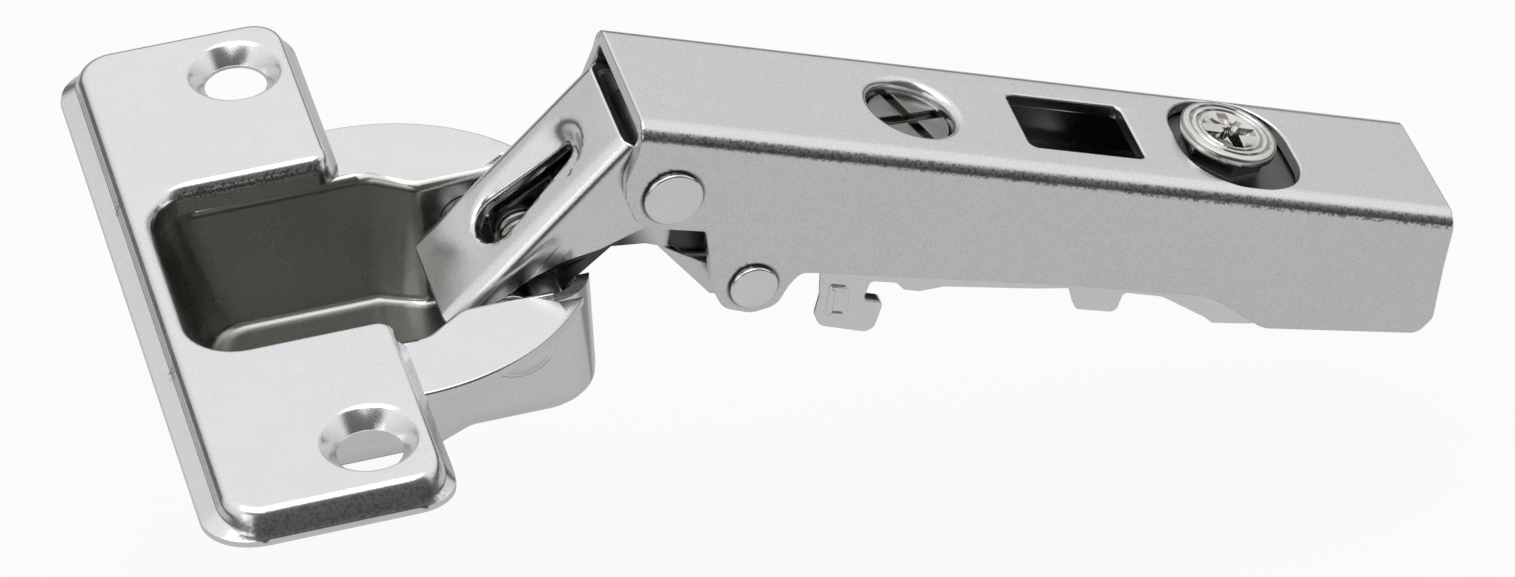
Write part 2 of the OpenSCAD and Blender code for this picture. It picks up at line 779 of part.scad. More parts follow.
module arm_outline() {
    p1 = [arm_pivot_1_u, -arm_pivot_1_depth];
    p2 = [arm_pivot_2_u, -arm_pivot_2_depth];
    polygon([
        [0.8, 0], [1.3, -2], p1 + boss_r * [-1, 0.1], p1, p1 + boss_r * [0.2, -0.98],
        p1 + [3.3, -2.85], p1 + [4.2, -3.3], p2 + lobe_r * [-0.95, -0.2], p2,
        p2 + lobe_r * [0.98, -0.1], p2 + [lobe_r + 0.4, 1.3], [p2[0] + 4.2, -side_depth],
        [side_mid_u, -side_mid_depth], [side_back_u - 6.1, -side_mid_depth + 0.2],
        [side_back_u - 3.7, -side_mid_depth - 0.7],
        [side_back_u, -side_back_depth], [arm_l + 1, -side_back_depth + 1.1],
        [arm_l + 1.9, -side_back_depth + 2.6], [arm_l + 0.9, -5.2], [arm_l, 0]
    ]);
    translate(p1) circle(r = boss_r);
    translate(p2) circle(r = lobe_r);
}

window_u = 35.4;
window_l = 10.3;
window_half_w = 3.6;
port_lead = 4.4;
screw_port_u = fix_screw_u - port_lead;
screw_port_l = 10.6;
screw_port_half_w = 5.9;

module arm_shell() {
    color(steel) in_arm() difference() {
        union() {
            intersection() {
                along(-2, arm_l + 4)
                    channel_section(arm_half_w, 0, 30, arm_wall, arm_bend_r);
                across(-10, 10) arm_outline();
            }
            translate([side_screw_u, 0, pocket_floor])
                cylinder(r = side_screw_head_r + fit + dimple_wall, h = -pocket_floor - arm_wall / 2);
        }
        // dimple of the side adjusting screw
        translate([side_screw_u, 0, -arm_wall])
            cylinder(r1 = side_screw_head_r + fit, r2 = side_screw_head_r + 0.8, h = arm_wall + eps);
        translate([side_screw_u, 0, screw_seat]) cylinder(r = side_screw_head_r + fit, h = 3);
        translate([side_screw_u, 0, screw_seat - 3]) cylinder(r = side_screw_r + fit, h = 6);
        // window over the catch
        translate([window_u, -window_half_w, -3]) cube([window_l, 2 * window_half_w, 5]);
        // port round the fixing screw
        translate([screw_port_u, -screw_port_half_w, -3]) linear_extrude(5)
            round_square([screw_port_l, 2 * screw_port_half_w], 4.6);
        translate([arm_pivot_1_u, 0, -arm_pivot_1_depth]) pin(arm_rivet_1_r, -20, 20);
        translate([arm_pivot_2_u, 0, -arm_pivot_2_depth]) pin(arm_rivet_2_r, -20, 20);
    }
}

module outer_link_arm_rivet() {
    color(zinc) at(arm_1) {
        pin(arm_rivet_1_r, -arm_half_w - eps, arm_half_w + eps);
        both_sides() translate([0, arm_half_w, 0])
            rivet_head(arm_rivet_1_head_r, arm_rivet_head_h, 0.45);
    }
}

module outer_link_arm_washers() {
    color(zinc) both_sides() at(arm_1) difference() {
        pin(boss_r - 0.7, link_1_half_w + fit, arm_inner_w);
        pin(arm_rivet_1_r, 0, 20);
    }
}

// Sleeve on the front rivet that keeps the sides of the outer link apart
module link_spacer_sleeve() {
    color(zinc) at(arm_1) difference() {
        pin(arm_rivet_1_r + 0.8, -link_1_half_w + link_1_wall + fit, link_1_half_w - link_1_wall - fit);
        pin(arm_rivet_1_r, -20, 20);
    }
}

module inner_link_arm_rivet() {
    color(zinc) at(arm_2) {
        pin(arm_rivet_2_r, -arm_half_w - eps, arm_half_w + eps);
        both_sides() translate([0, arm_half_w, 0])
            rivet_head(arm_rivet_2_head_r, arm_rivet_head_h, 0.4);
    }
}

module inner_link_arm_bushes() {
    color(zinc) both_sides() at(arm_2) difference() {
        pin(lobe_r - 0.5, link_2_half_w + slide_play, arm_inner_w);
        pin(arm_rivet_2_r, 0, 20);
    }
}

// Side adjusting screw: its head turns in the dimple of the arm, held by a ring
screw_seat = -side_screw_sink - side_screw_head_h;
pocket_floor = screw_seat - dimple_wall;
cross_slot_w = 0.9;
cross_slot_depth = 0.75;
module side_adjusting_screw() {
    color(zinc) in_arm() translate([side_screw_u, 0, 0]) difference() {
        union() {
            translate([0, 0, screw_seat + end_play])
                cylinder(r = side_screw_head_r, h = side_screw_head_h - end_play);
            translate([0, 0, -side_screw_l]) cylinder(r = side_screw_r, h = side_screw_l + screw_seat + 0.5);
        }
        for (a = [0, 90]) rotate([0, 0, a])
            translate([-side_screw_head_r - 1, -cross_slot_w / 2, -side_screw_sink - cross_slot_depth])
                cube([2 * side_screw_head_r + 2, cross_slot_w, 2]);
    }
}

module side_screw_retainer() {
    color(dark) in_arm() translate([side_screw_u, 0, pocket_floor - end_play - retainer_t]) difference() {
        cylinder(r = side_screw_r + 1.2, h = retainer_t);
        translate([0, 0, -1]) cylinder(r = side_screw_r, h = 3);
    }
}

// Nut that climbs the side adjusting screw; its waist slides in the carriage's slot
nut_waist = 2 * side_screw_r + 1.2;
nut_flange_l = nut_waist + 1.6;
nut_flange_w = nut_waist + 3;
web_top = -carriage_drop;
web_low = -carriage_drop - carriage_wall;
module slide_nut() {
    color(zinc) in_arm() translate([side_screw_u, 0, 0]) difference() {
        union() {
            translate([-nut_flange_l / 2, -nut_flange_w / 2, web_top + nut_play])
                cube([nut_flange_l, nut_flange_w, nut_flange_t]);
            translate([-nut_waist / 2, -nut_waist / 2, web_low - nut_play - eps])
                cube([nut_waist, nut_waist, carriage_wall + 2 * nut_play + 2 * eps]);
            translate([-nut_flange_l / 2, -nut_flange_w / 2, web_low - nut_play - nut_foot_t])
                cube([nut_flange_l, nut_flange_w, nut_foot_t]);
        }
        translate([0, 0, -20]) cylinder(r = side_screw_r + fit, h = 20);
    }
}

// Carriage: a folded channel that hooks on to a mounting plate
module carriage_outline() {
    front = [carriage_front, -carriage_edge];
    hook = [carriage_front, -hook_depth];
    tab = [tab_u, -carriage_edge - tab_drop];
    tab_end = tab + [tab_l, 0];
    wedge = [wedge_u, -carriage_edge - tab_drop];
    polygon([
        [carriage_front, -carriage_drop], front + [0, 0.2],
        hook + [0.4, 5], hook + [1.2, 2.4], hook + [1.4, 0.6], hook + [1.9, 0],
        hook + [6.2, -0.2], hook + [6.7, 0.8], hook + [6.4, 2.7], hook + [5.9, 3.1],
        hook + [4.7, 3], hook + [4.6, 3.8], hook + [4.8, 4.7], hook + [6.9, 4.9],
        hook + [7.8, 4.3], hook + [9.2, 4.3], front + [11.1, -1.2], front + [19, -0.5],
        [tab_u, -carriage_edge - 0.1], tab + [1.2, 0.2], tab + [1.7, 0],
        tab_end + [-0.2, 0.2], tab_end + [0, 1], [tab_end[0], -carriage_edge],
        [wedge_u, -carriage_edge], wedge + [4.5, 0.5], wedge + [5.4, 0], wedge + [8.7, 0.3],
        [carriage_back - 1, -carriage_edge - 0.6], [carriage_back, -carriage_edge + 0.4],
        [carriage_back, -carriage_drop]
    ]);
}

module carriage() {
    color(zinc) in_arm() difference() {
        intersection() {
            along(carriage_front - 1, carriage_back + 1)
                channel_section(carriage_half_w, -carriage_drop, 20, carriage_wall, 1.4);
            across(-10, 10) carriage_outline();
        }
        // slot for the waist of the nut, as long as the depth travel asks
        translate([
            side_screw_u - nut_waist / 2 - travel_out - 2 * slide_play,
            -nut_waist / 2 - slide_play,
            web_low - 1
        ]) cube([
            nut_waist + travel_in + travel_out + 4 * slide_play,
            nut_waist + 2 * slide_play,
            carriage_wall + 2
        ]);
        // opening under the window of the arm
        translate([window_u + 0.8, -window_half_w, web_low - 1])
            cube([window_l - 1.4, 2 * window_half_w, carriage_wall + 2]);
        translate([fix_screw_u, 0, web_low - 1]) cylinder(r = fix_screw_r + 0.4, h = carriage_wall + 2);
        translate([fix_screw_u, 0, -trunnion_depth]) pin(trunnion_r + fit, -20, 20);
    }
}

// Sprung leaf under the web that snaps on to the mounting plate, clear of the nut
leaf_gap = 1.5;
leaf_u = side_screw_u + nut_flange_l / 2 + travel_in + leaf_gap;
module plate_catch_spring() {
    knee_u = leaf_u + 0.3 * leaf_l;
    heel_u = leaf_u + leaf_l - 1.3;
    end_u = leaf_u + leaf_l;
    color(dark) in_arm() across(-leaf_half_w, leaf_half_w) polygon([
        [leaf_u, web_low], [leaf_u, web_low - leaf_t], [knee_u - 0.1, web_low - leaf_t],
        [heel_u - 0.1, web_low - leaf_t - leaf_fall], [end_u, web_low - leaf_t - leaf_fall + 0.8],
        [end_u, web_low - leaf_fall + 1], [heel_u + 0.1, web_low - leaf_fall + 0.2],
        [knee_u + 0.1, web_low]
    ]);
}

// Block under the web, threaded for the fixing screw, on which the carriage rocks
block_half_l = fix_screw_r + 1.7;
block_half_w = carriage_half_w - carriage_wall - slide_play;
block_low = -trunnion_depth - 1.9;
block_top = web_low - 0.25;
module threaded_block() {
    color(zinc) in_arm() translate([fix_screw_u, 0, 0]) difference() {
        union() {
            translate([-block_half_l, -block_half_w, block_low])
                cube([2 * block_half_l, 2 * block_half_w, block_top - block_low]);
            translate([0, 0, -trunnion_depth])
                pin(trunnion_r, -carriage_half_w + fit, carriage_half_w - fit);
        }
        translate([0, 0, -20]) cylinder(r = fix_screw_r + fit, h = 20);
    }
}

// Plate and sleeve that carry the arm over the web, under the fixing screw
clamp_low = -arm_wall - 0.1 - clamp_t;
sleeve_low = web_top + 0.2;
sleeve_wall = 1.4;
module clamp_plate() {
    color(zinc) in_arm() translate([fix_screw_u, 0, 0]) difference() {
        union() {
            translate([-clamp_l / 2, -clamp_half_w, clamp_low]) cube([clamp_l, 2 * clamp_half_w, clamp_t]);
            translate([0, 0, sleeve_low])
                cylinder(r = fix_screw_r + sleeve_wall, h = clamp_low - sleeve_low + eps);
        }
        translate([0, 0, -20]) cylinder(r = fix_screw_r + fit, h = 20);
    }
}

// Fixing screw: a round head over a six-sided collar, with a cross recess
module fixing_screw() {
    color(zinc) in_arm() translate([fix_screw_u, 0, 0]) difference() {
        union() {
            translate([0, 0, fix_screw_rise - fix_head_h]) cylinder(r = fix_screw_head_r, h = fix_head_h);
            translate([0, 0, -arm_wall - 0.08]) cylinder(r = fix_collar_r, h = fix_screw_rise + arm_wall);
            translate([0, 0, -fix_screw_l]) cylinder(r = fix_screw_r, h = fix_screw_l);
        }
        // cross recess, and the finer cross between its arms
        for (a = [0, 90]) rotate([0, 0, a]) translate([-2.5, -0.55, fix_screw_rise - 1.1])
            cube([5, 1.1, 3]);
        for (a = [45, 135]) rotate([0, 0, a]) translate([-1.9, -0.25, fix_screw_rise - 0.5])
            cube([3.8, 0.5, 3]);
    }
}

cup_shell();
outer_link_cup_rivets();
outer_link_cup_spacers();
inner_link_cup_pin();
inner_link_cup_spacers();
closing_spring();
outer_link();
inner_link();
arm_shell();
outer_link_arm_rivet();
outer_link_arm_washers();
link_spacer_sleeve();
inner_link_arm_rivet();
inner_link_arm_bushes();
side_adjusting_screw();
side_screw_retainer();
slide_nut();
carriage();
plate_catch_spring();
threaded_block();
clamp_plate();
fixing_screw();
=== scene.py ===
import json
import math

import bmesh
import bpy
from mathutils import Matrix, Vector
from mathutils.geometry import delaunay_2d_cdt


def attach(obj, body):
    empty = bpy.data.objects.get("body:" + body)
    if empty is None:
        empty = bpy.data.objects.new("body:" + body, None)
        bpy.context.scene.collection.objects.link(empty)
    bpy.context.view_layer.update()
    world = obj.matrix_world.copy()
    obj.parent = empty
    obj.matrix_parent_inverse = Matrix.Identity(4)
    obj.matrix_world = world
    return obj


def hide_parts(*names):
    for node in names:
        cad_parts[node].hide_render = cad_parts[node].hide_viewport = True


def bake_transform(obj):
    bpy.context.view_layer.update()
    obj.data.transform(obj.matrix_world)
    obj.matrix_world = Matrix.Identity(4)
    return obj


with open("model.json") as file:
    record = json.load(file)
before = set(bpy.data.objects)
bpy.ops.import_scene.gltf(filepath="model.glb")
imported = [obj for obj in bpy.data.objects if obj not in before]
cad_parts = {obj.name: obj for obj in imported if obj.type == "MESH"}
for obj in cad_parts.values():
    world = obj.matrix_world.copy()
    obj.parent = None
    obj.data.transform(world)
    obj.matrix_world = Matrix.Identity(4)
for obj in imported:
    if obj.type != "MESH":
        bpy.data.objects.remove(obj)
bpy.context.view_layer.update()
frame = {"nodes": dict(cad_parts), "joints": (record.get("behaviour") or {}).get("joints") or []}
joints = {joint["name"]: joint for joint in frame["joints"]}

# Camera
# It stands far off, in front of the pivots and above the door, as the
# photograph was taken, so the hinge hardly narrows with distance.
scene = bpy.context.scene
camera_data = bpy.data.cameras.new("camera")
camera_data.sensor_width = 36
camera_data.lens = 163.54
camera_data.clip_start = 0.01
camera_data.clip_end = 50
camera = bpy.data.objects.new("camera", camera_data)
scene.collection.objects.link(camera)
scene.camera = camera
view_right = Vector((0.96211, -0.26989, -0.03875))
view_up = Vector((0.20035, 0.60339, 0.77187))
view_turn = Matrix((view_right, view_up, view_right.cross(view_up))).transposed()
view_from = Vector((-0.07189, -0.41671, 0.34129))
camera.matrix_world = Matrix.Translation(view_from) @ view_turn.to_4x4()


# Studio
# A wide white sweep under two soft lamps. What the steel mirrors is bright above
# and dark at eye level and in front, which draws dark lines along its bends.
def make(tree, kind, inputs=(), output=0, **settings):
    """Adds a node: first its settings, then the values or links of its sockets."""
    node = tree.nodes.new(kind)
    for name, value in settings.items():
        if name == "stops":
            ramp = node.color_ramp
            while len(ramp.elements) < len(value):
                ramp.elements.new(0.5)
            for element, (place, shade) in zip(ramp.elements, value):
                element.position = place
                element.color = (shade, shade, shade, 1)
        else:
            setattr(node, name, value)
    pairs = inputs.items() if isinstance(inputs, dict) else enumerate(inputs)
    for key, value in pairs:
        if isinstance(value, Value):
            tree.links.new(value.socket, node.inputs[key])
        elif value is not None:
            node.inputs[key].default_value = value
    return Value(tree, node.outputs[output]) if node.outputs else None


class Value:
    """A socket of a node tree, so that shader maths is written as arithmetic."""

    def __init__(self, tree, socket):
        self.tree, self.socket = tree, socket

    def maths(self, operation, *values):
        return make(self.tree, "ShaderNodeMath", values, operation=operation)

    def __add__(self, other):
        return self.maths("ADD", self, other)

    def __sub__(self, other):
        return self.maths("SUBTRACT", self, other)

    def __rsub__(self, other):
        return self.maths("SUBTRACT", other, self)

    def __mul__(self, other):
        return self.maths("MULTIPLY", self, other)

    def __truediv__(self, other):
        return self.maths("DIVIDE", self, other)

    def __abs__(self):
        return self.maths("ABSOLUTE", self)

    __radd__ = __add__
    __rmul__ = __mul__

    def root(self):
        return self.maths("SQRT", self)

    def largest(self, other):
        return self.maths("MAXIMUM", self, other)

    def over(self, low, high):
        """0 below low, 1 above high and smooth between them."""
        settings = dict(interpolation_type="SMOOTHSTEP", clamp=True)
        return make(self.tree, "ShaderNodeMapRange", [self, low, high, 0.0, 1.0], **settings)

    def gone(self, low, high):
        """1 below low, 0 above high and smooth between them."""
        return 1 - self.over(low, high)

    def mixed(self, first, second):
        """The first colour where this is 0, the second where it is 1."""
        sockets = {0: self, 6: first, 7: second}
        return make(self.tree, "ShaderNodeMix", sockets, output=2, data_type="RGBA")

    def part(self, axis):
        """One coordinate of a vector."""
        return make(self.tree, "ShaderNodeSeparateXYZ", [self], output=axis)

    def length(self):
        return make(self.tree, "ShaderNodeVectorMath", [self], output="Value", operation="LENGTH")


def rays(tree):
    """Whether the camera sees a surface itself, and whether metal mirrors it."""
    kinds = "Is Camera Ray", "Is Glossy Ray"
    return [make(tree, "ShaderNodeLightPath", output=kind) for kind in kinds]


scene.view_settings.view_transform = "Standard"
world = bpy.data.worlds.new("studio")
scene.world = world
world.use_nodes = True
sky = world.node_tree
sky.nodes.clear()
seen, mirrored = rays(sky)
direction = make(sky, "ShaderNodeTexCoord", output="Generated")
height = direction.part("Z")
room_belt = make(
    sky, "ShaderNodeValToRGB", [height],
    stops=[(0.0, 0.1), (0.09, 0.08), (0.14, 0.55), (0.2, 0.74), (0.34, 0.8), (0.5, 0.95),
           (0.63, 1.0), (1.0, 0.97)],
)
towards_front = direction.part("Y") * -1 / (1.001 - height * height).root()
front_edge, front_top, front_shade, soft_fill = (0.45, 0.7), (0.78, 0.9), 0.85, 0.62
dark_front = towards_front.over(*front_edge) * height.gone(*front_top)
room = room_belt * (1 - dark_front * front_shade)
brightness = seen + (1 - seen) * (mirrored * room + (1 - mirrored) * soft_fill)
studio_sky = make(sky, "ShaderNodeBackground", [(1, 1, 1, 1), brightness])
make(sky, "ShaderNodeOutputWorld", [studio_sky])

floor_z, floor_half = -0.045, 3
floor_mesh = bpy.data.meshes.new("studio_floor")
floor_corners = [(-1, -1), (1, -1), (1, 1), (-1, 1)]
floor_mesh.from_pydata(
    [(x * floor_half, y * floor_half, floor_z) for x, y in floor_corners], [], [(0, 1, 2, 3)])
floor = bpy.data.objects.new("studio_floor", floor_mesh)
scene.collection.objects.link(floor)
sweep = bpy.data.materials.new("pale_sweep")
sweep.use_nodes = True
floor_mesh.materials.append(sweep)
tree = sweep.node_tree
tree.nodes.clear()
seen, mirrored = rays(tree)
paper = make(tree, "ShaderNodeBsdfDiffuse", [(0.86, 0.86, 0.86, 1)])
ground = make(tree, "ShaderNodeTexCoord", output="Object")
far = ground.length().over(0.3, 0.5)
near_glow, far_glow = 0.5, 0.09
near_share, far_share, seen_share = 0.6, 0.98, 0.88
glow_level = seen + (1 - seen) * (near_glow - far * (near_glow - far_glow))
glow = make(tree, "ShaderNodeEmission", [(1, 1, 1, 1), glow_level])
glow_share = seen * seen_share + mirrored * (near_share + far * (far_share - near_share))
lit_sweep = make(tree, "ShaderNodeMixShader", [glow_share, paper, glow])
make(tree, "ShaderNodeOutputMaterial", [lit_sweep])


def soft_lamp(name, place, aim, size, watts):
    """A square area lamp at place that faces aim."""
    data = bpy.data.lights.new(name, "AREA")
    data.shape = "SQUARE"
    data.size = size
    data.energy = watts
    lamp = bpy.data.objects.new(name, data)
    scene.collection.objects.link(lamp)
    facing = (Vector(aim) - Vector(place)).to_track_quat("-Z", "Y")
    lamp.matrix_world = Matrix.Translation(place) @ facing.to_matrix().to_4x4()


soft_lamp("overhead_softbox", (-0.1, -0.15, 1.0), (0.03, 0, 0), 1.0, 3.6)
soft_lamp("side_softbox", (-0.9, -0.9, 0.5), (0.03, 0, 0), 0.6, 1.2)

# Drawn cup with its screw flange
# One blank of nickel-plated deep-drawing steel, 1 mm thick. The press draws the
# cup, rolls the flange's edges over, and dimples the two screw holes.
MM = 0.001


def rounded(path, steps=8):
    """A closed outline. A corner (x, y, radius) is rounded, a point (x, y) is kept."""
    points = []
    for i, corner in enumerate(path):
        here = Vector(corner[:2])
        if len(corner) == 2:
            points.append(here)
            continue
        before = Vector(path[i - 1][:2]) - here
        after = Vector(path[(i + 1) % len(path)][:2]) - here
        half = before.angle(after) / 2
        if half > math.pi / 2 - 0.01:
            points.append(here)
            continue
        radius = min(corner[2], 0.49 * min(before.length, after.length) * math.tan(half))
        before.normalize()
        after.normalize()
        centre = here + (before + after).normalized() * radius / math.sin(half)
        start = here + before * radius / math.tan(half) - centre
        turn = math.copysign(math.pi - 2 * half, after.cross(before))
        for k in range(steps + 1):
            points.append(centre + Matrix.Rotation(turn * k / steps, 2) @ start)
    return points


def arc(centre, radius, start, end, steps=16):
    """Points on a circle between two angles in degrees."""
    angles = [math.radians(start + (end - start) * k / steps) for k in range(steps + 1)]
    return [(centre[0] + radius * math.cos(a), centre[1] + radius * math.sin(a)) for a in angles]


def shifted(loop, by):
    """A closed outline moved to the left of its own direction at every point."""
    moved = []
    for i, here in enumerate(loop):
        sides = [(here - loop[i - 1]), (loop[(i + 1) % len(loop)] - here)]
        normals = [Vector((-side.y, side.x)).normalized() for side in sides if side.length > 1e-6]
        middle = sum(normals, Vector((0, 0))).normalized()
        moved.append(here + middle * by / max(middle.dot(normals[0]), 0.5))
    return moved


def inside(point, loops):
    """Whether a point is inside an odd number of outlines."""
    odd = False
    for loop in loops:
        for a, b in zip(loop, loop[1:] + loop[:1]):
            if (a.y > point.y) != (b.y > point.y):
                if point.x < a.x + (b.x - a.x) * (point.y - a.y) / (b.y - a.y):
                    odd = not odd
    return odd


def gap_to(point, loop):
    """Distance from a point to the nearest side of an outline."""
    nearest = 1e9
    for a, b in zip(loop, loop[1:] + loop[:1]):
        run = b - a
        share = min(max((point - a).dot(run) / max(run.length_squared, 1e-12), 0), 1)
        nearest = min(nearest, (a + run * share - point).length)
    return nearest


def quarter(steps):
    """Angles over a quarter turn, with both ends."""
    return [math.pi / 2 * k / steps for k in range(steps + 1)]


def punched_edge(wall, radius):
    """A punched sheet's edge as (how far out, how deep), rounded on both sides."""
    rise = [(radius * math.sin(a), radius * (1 - math.cos(a))) for a in quarter(3)]
    fall = [(radius * math.cos(a), wall - radius * (1 - math.sin(a))) for a in quarter(3)]
    return rise + fall


def add_sheet(shell, loops, place, wall, lines=(), edges=None, edge_r=0.22, bulge=None):
    """Adds a pressed sheet to a bmesh, worked out on its flat blank in millimetres.
    loops are the blank's outline, anticlockwise, and its holes, clockwise. place puts a
    point (u, s, depth under the outer face) into the row frame. lines are where the sheet
    bends, edges gives a loop its own edge, and bulge lifts the sheet."""
    edges = edges or {}
    skins = [loop if i in edges else shifted(loop, edge_r) for i, loop in enumerate(loops)]
    points, sides = [], []
    for i, chain in enumerate([*skins, *lines]):
        first = len(points)
        points += [Vector(p) for p in chain]
        sides += [(k, k + 1) for k in range(first, len(points) - 1)]
        if i < len(skins):
            sides.append((len(points) - 1, first))
    flat, _, pieces = delaunay_2d_cdt(points, sides, [], 0, 1e-4)[:3]
    # The faces in the holes go. What is left has free sides, each with its way round.
    middles = [sum((flat[i] for i in face), Vector((0, 0))) / len(face) for face in pieces]
    kept = [face for face, middle in zip(pieces, middles) if inside(middle, skins)]
    onward = dict.fromkeys(side for face in kept for side in zip(face, [*face[1:], face[0]]))
    following = {a: b for a, b in onward if (b, a) not in onward}

    def vertex(p, depth):
        rise = bulge(p.x, p.y) if bulge else 0
        return shell.verts.new(Vector(place(p.x, p.y, depth - rise)) * MM)

    used = sorted({i for face in kept for i in face})
    outer = {i: vertex(flat[i], 0) for i in used}
    inner = {}
    # Each round of free sides gets the section of the edge that it lies on.
    waiting = set(following)
    while waiting:
        loop = [waiting.pop()]
        while following[loop[-1]] != loop[0]:
            loop.append(following[loop[-1]])
            waiting.discard(loop[-1])
            if len(loop) > len(following):
                raise ValueError(f"the outline crosses itself near {flat[loop[-1]]}")
        own = min(range(len(skins)), key=lambda k: gap_to(flat[loop[0]], skins[k]))
        edge = edges.get(own, punched_edge(wall, edge_r))
        rows = []
        for i, out_point in zip(loop, shifted([flat[i] for i in loop], -1)):
            away = out_point - flat[i]
            steps = edge(flat[i], away) if callable(edge) else edge
            rows.append([vertex(flat[i] + away * out, depth) for out, depth in steps[1:]])
            inner[i] = rows[-1][-1]
        for k, i in enumerate(loop):
            a = [outer[i], *rows[k]]
            b = [outer[loop[(k + 1) % len(loop)]], *rows[(k + 1) % len(loop)]]
            for n in range(len(a) - 1):
                shell.faces.new((a[n], a[n + 1], b[n + 1], b[n]))
    for i in used:
        if i not in inner:
            inner[i] = vertex(flat[i], wall)
    for face in kept:
        shell.faces.new([outer[i] for i in face])
        shell.faces.new([inner[i] for i in reversed(face)])
    return shell


def add_stack(shell, rings):
    """Adds a closed skin through a stack of rings of points in the row frame, in millimetres."""
    rows = [[shell.verts.new(Vector(p) * MM) for p in ring] for ring in rings]
    for low, high in zip(rows, rows[1:]):
        for k in range(len(low)):
            m = (k + 1) % len(low)
            shell.faces.new((low[k], low[m], high[m], high[k]))
    shell.faces.new(rows[0][::-1])
    shell.faces.new(rows[-1])
    return shell


def add_turned(shell, profile, place, sides=64):
    """Adds a turned solid: a profile of (radius, height) that starts and ends on its axis."""
    columns = []
    for k in range(sides):
        a = 2 * math.pi * k / sides
        columns.append([shell.verts.new(Vector(place(r * math.cos(a), r * math.sin(a), h)) * MM)
                        if r > 0 else None for r, h in profile])
    poles = [shell.verts.new(Vector(place(0, 0, h)) * MM) if r == 0 else None for r, h in profile]
    for k in range(sides):
        one, two = columns[k], columns[(k + 1) % sides]
        for n in range(len(profile) - 1):
            around = (one, n), (two, n), (two, n + 1), (one, n + 1)
            corners = list(dict.fromkeys(column[m] or poles[m] for column, m in around))
            if len(corners) > 2:
                shell.faces.new(corners)
    return shell


def made(name, shell, merge=0.002):
    """The bmesh as an object, with its faces outwards."""
    bmesh.ops.remove_doubles(shell, verts=shell.verts, dist=merge * MM)
    bmesh.ops.dissolve_degenerate(shell, edges=shell.edges, dist=merge * MM)
    bmesh.ops.recalc_face_normals(shell, faces=shell.faces)
    mesh = bpy.data.meshes.new(name)
    shell.to_mesh(mesh)
    shell.free()
    piece = bpy.data.objects.new(name, mesh)
    scene.collection.objects.link(piece)
    return piece


def applied(piece):
    """The piece with its modifiers worked into its mesh."""
    bpy.context.view_layer.update()
    worked = piece.evaluated_get(bpy.context.evaluated_depsgraph_get())
    mesh = bpy.data.meshes.new_from_object(worked)
    piece.modifiers.clear()
    piece.data = mesh
    return piece


def carved(piece, tools, operation="DIFFERENCE"):
    """The piece after each tool has been cut from it, or joined to it, and used up."""
    for tool in tools:
        modifier = piece.modifiers.new("carve", "BOOLEAN")
        modifier.object = tool
        modifier.operation = operation
        modifier.solver = "EXACT"
        applied(piece)
        bpy.data.objects.remove(tool)
    return piece


def smoothed(piece, bevel=0):
    """Rounds the sharp edges and lets wide faces rule the shading of their borders."""
    sharp = math.radians(38)
    if bevel:
        modifier = piece.modifiers.new("round", "BEVEL")
        modifier.width = bevel * MM
        modifier.segments = 3
        modifier.limit_method = "ANGLE"
        modifier.angle_limit = sharp
        applied(piece)
    piece.data.shade_smooth()
    piece.data.set_sharp_from_angle(angle=sharp)
    modifier = piece.modifiers.new("weight", "WEIGHTED_NORMAL")
    modifier.keep_sharp = True
    modifier.weight = 80
    return applied(piece)


def join(piece, *others):
    """Takes the other pieces into the mesh of the first."""
    bpy.context.view_layer.objects.active = piece
    with bpy.context.temp_override(active_object=piece, selected_editable_objects=[piece, *others]):
        bpy.ops.object.join()


def block(low, high, place=lambda x, y, z: (x, y, z)):
    """A plain box between two corners, used as a cutting tool."""
    ring = [(low[0], low[1]), (high[0], low[1]), (high[0], high[1]), (low[0], high[1])]
    rings = [[place(x, y, z) for x, y in ring] for z in (low[2], high[2])]
    return made("block", add_stack(bmesh.new(), rings))


def across(centre, side):
    """A frame at a pivot, whose height grows out of one side of the hinge."""
    return lambda x, y, h: centre + Vector((x, side * h, y))


def drill(radius, centre):
    """A round cutting tool right across the hinge."""
    profile = [(0, -40), (radius, -40), (radius, 40), (0, 40)]
    return made("drill", add_turned(bmesh.new(), profile, across(centre, 1)))


def dress(piece, material, body, slot, *nodes):
    """Gives a piece its finish, its body and the solids that it stands for."""
    piece.data.materials.clear()
    piece.data.materials.append(material)
    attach(piece, body)
    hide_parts(*nodes)


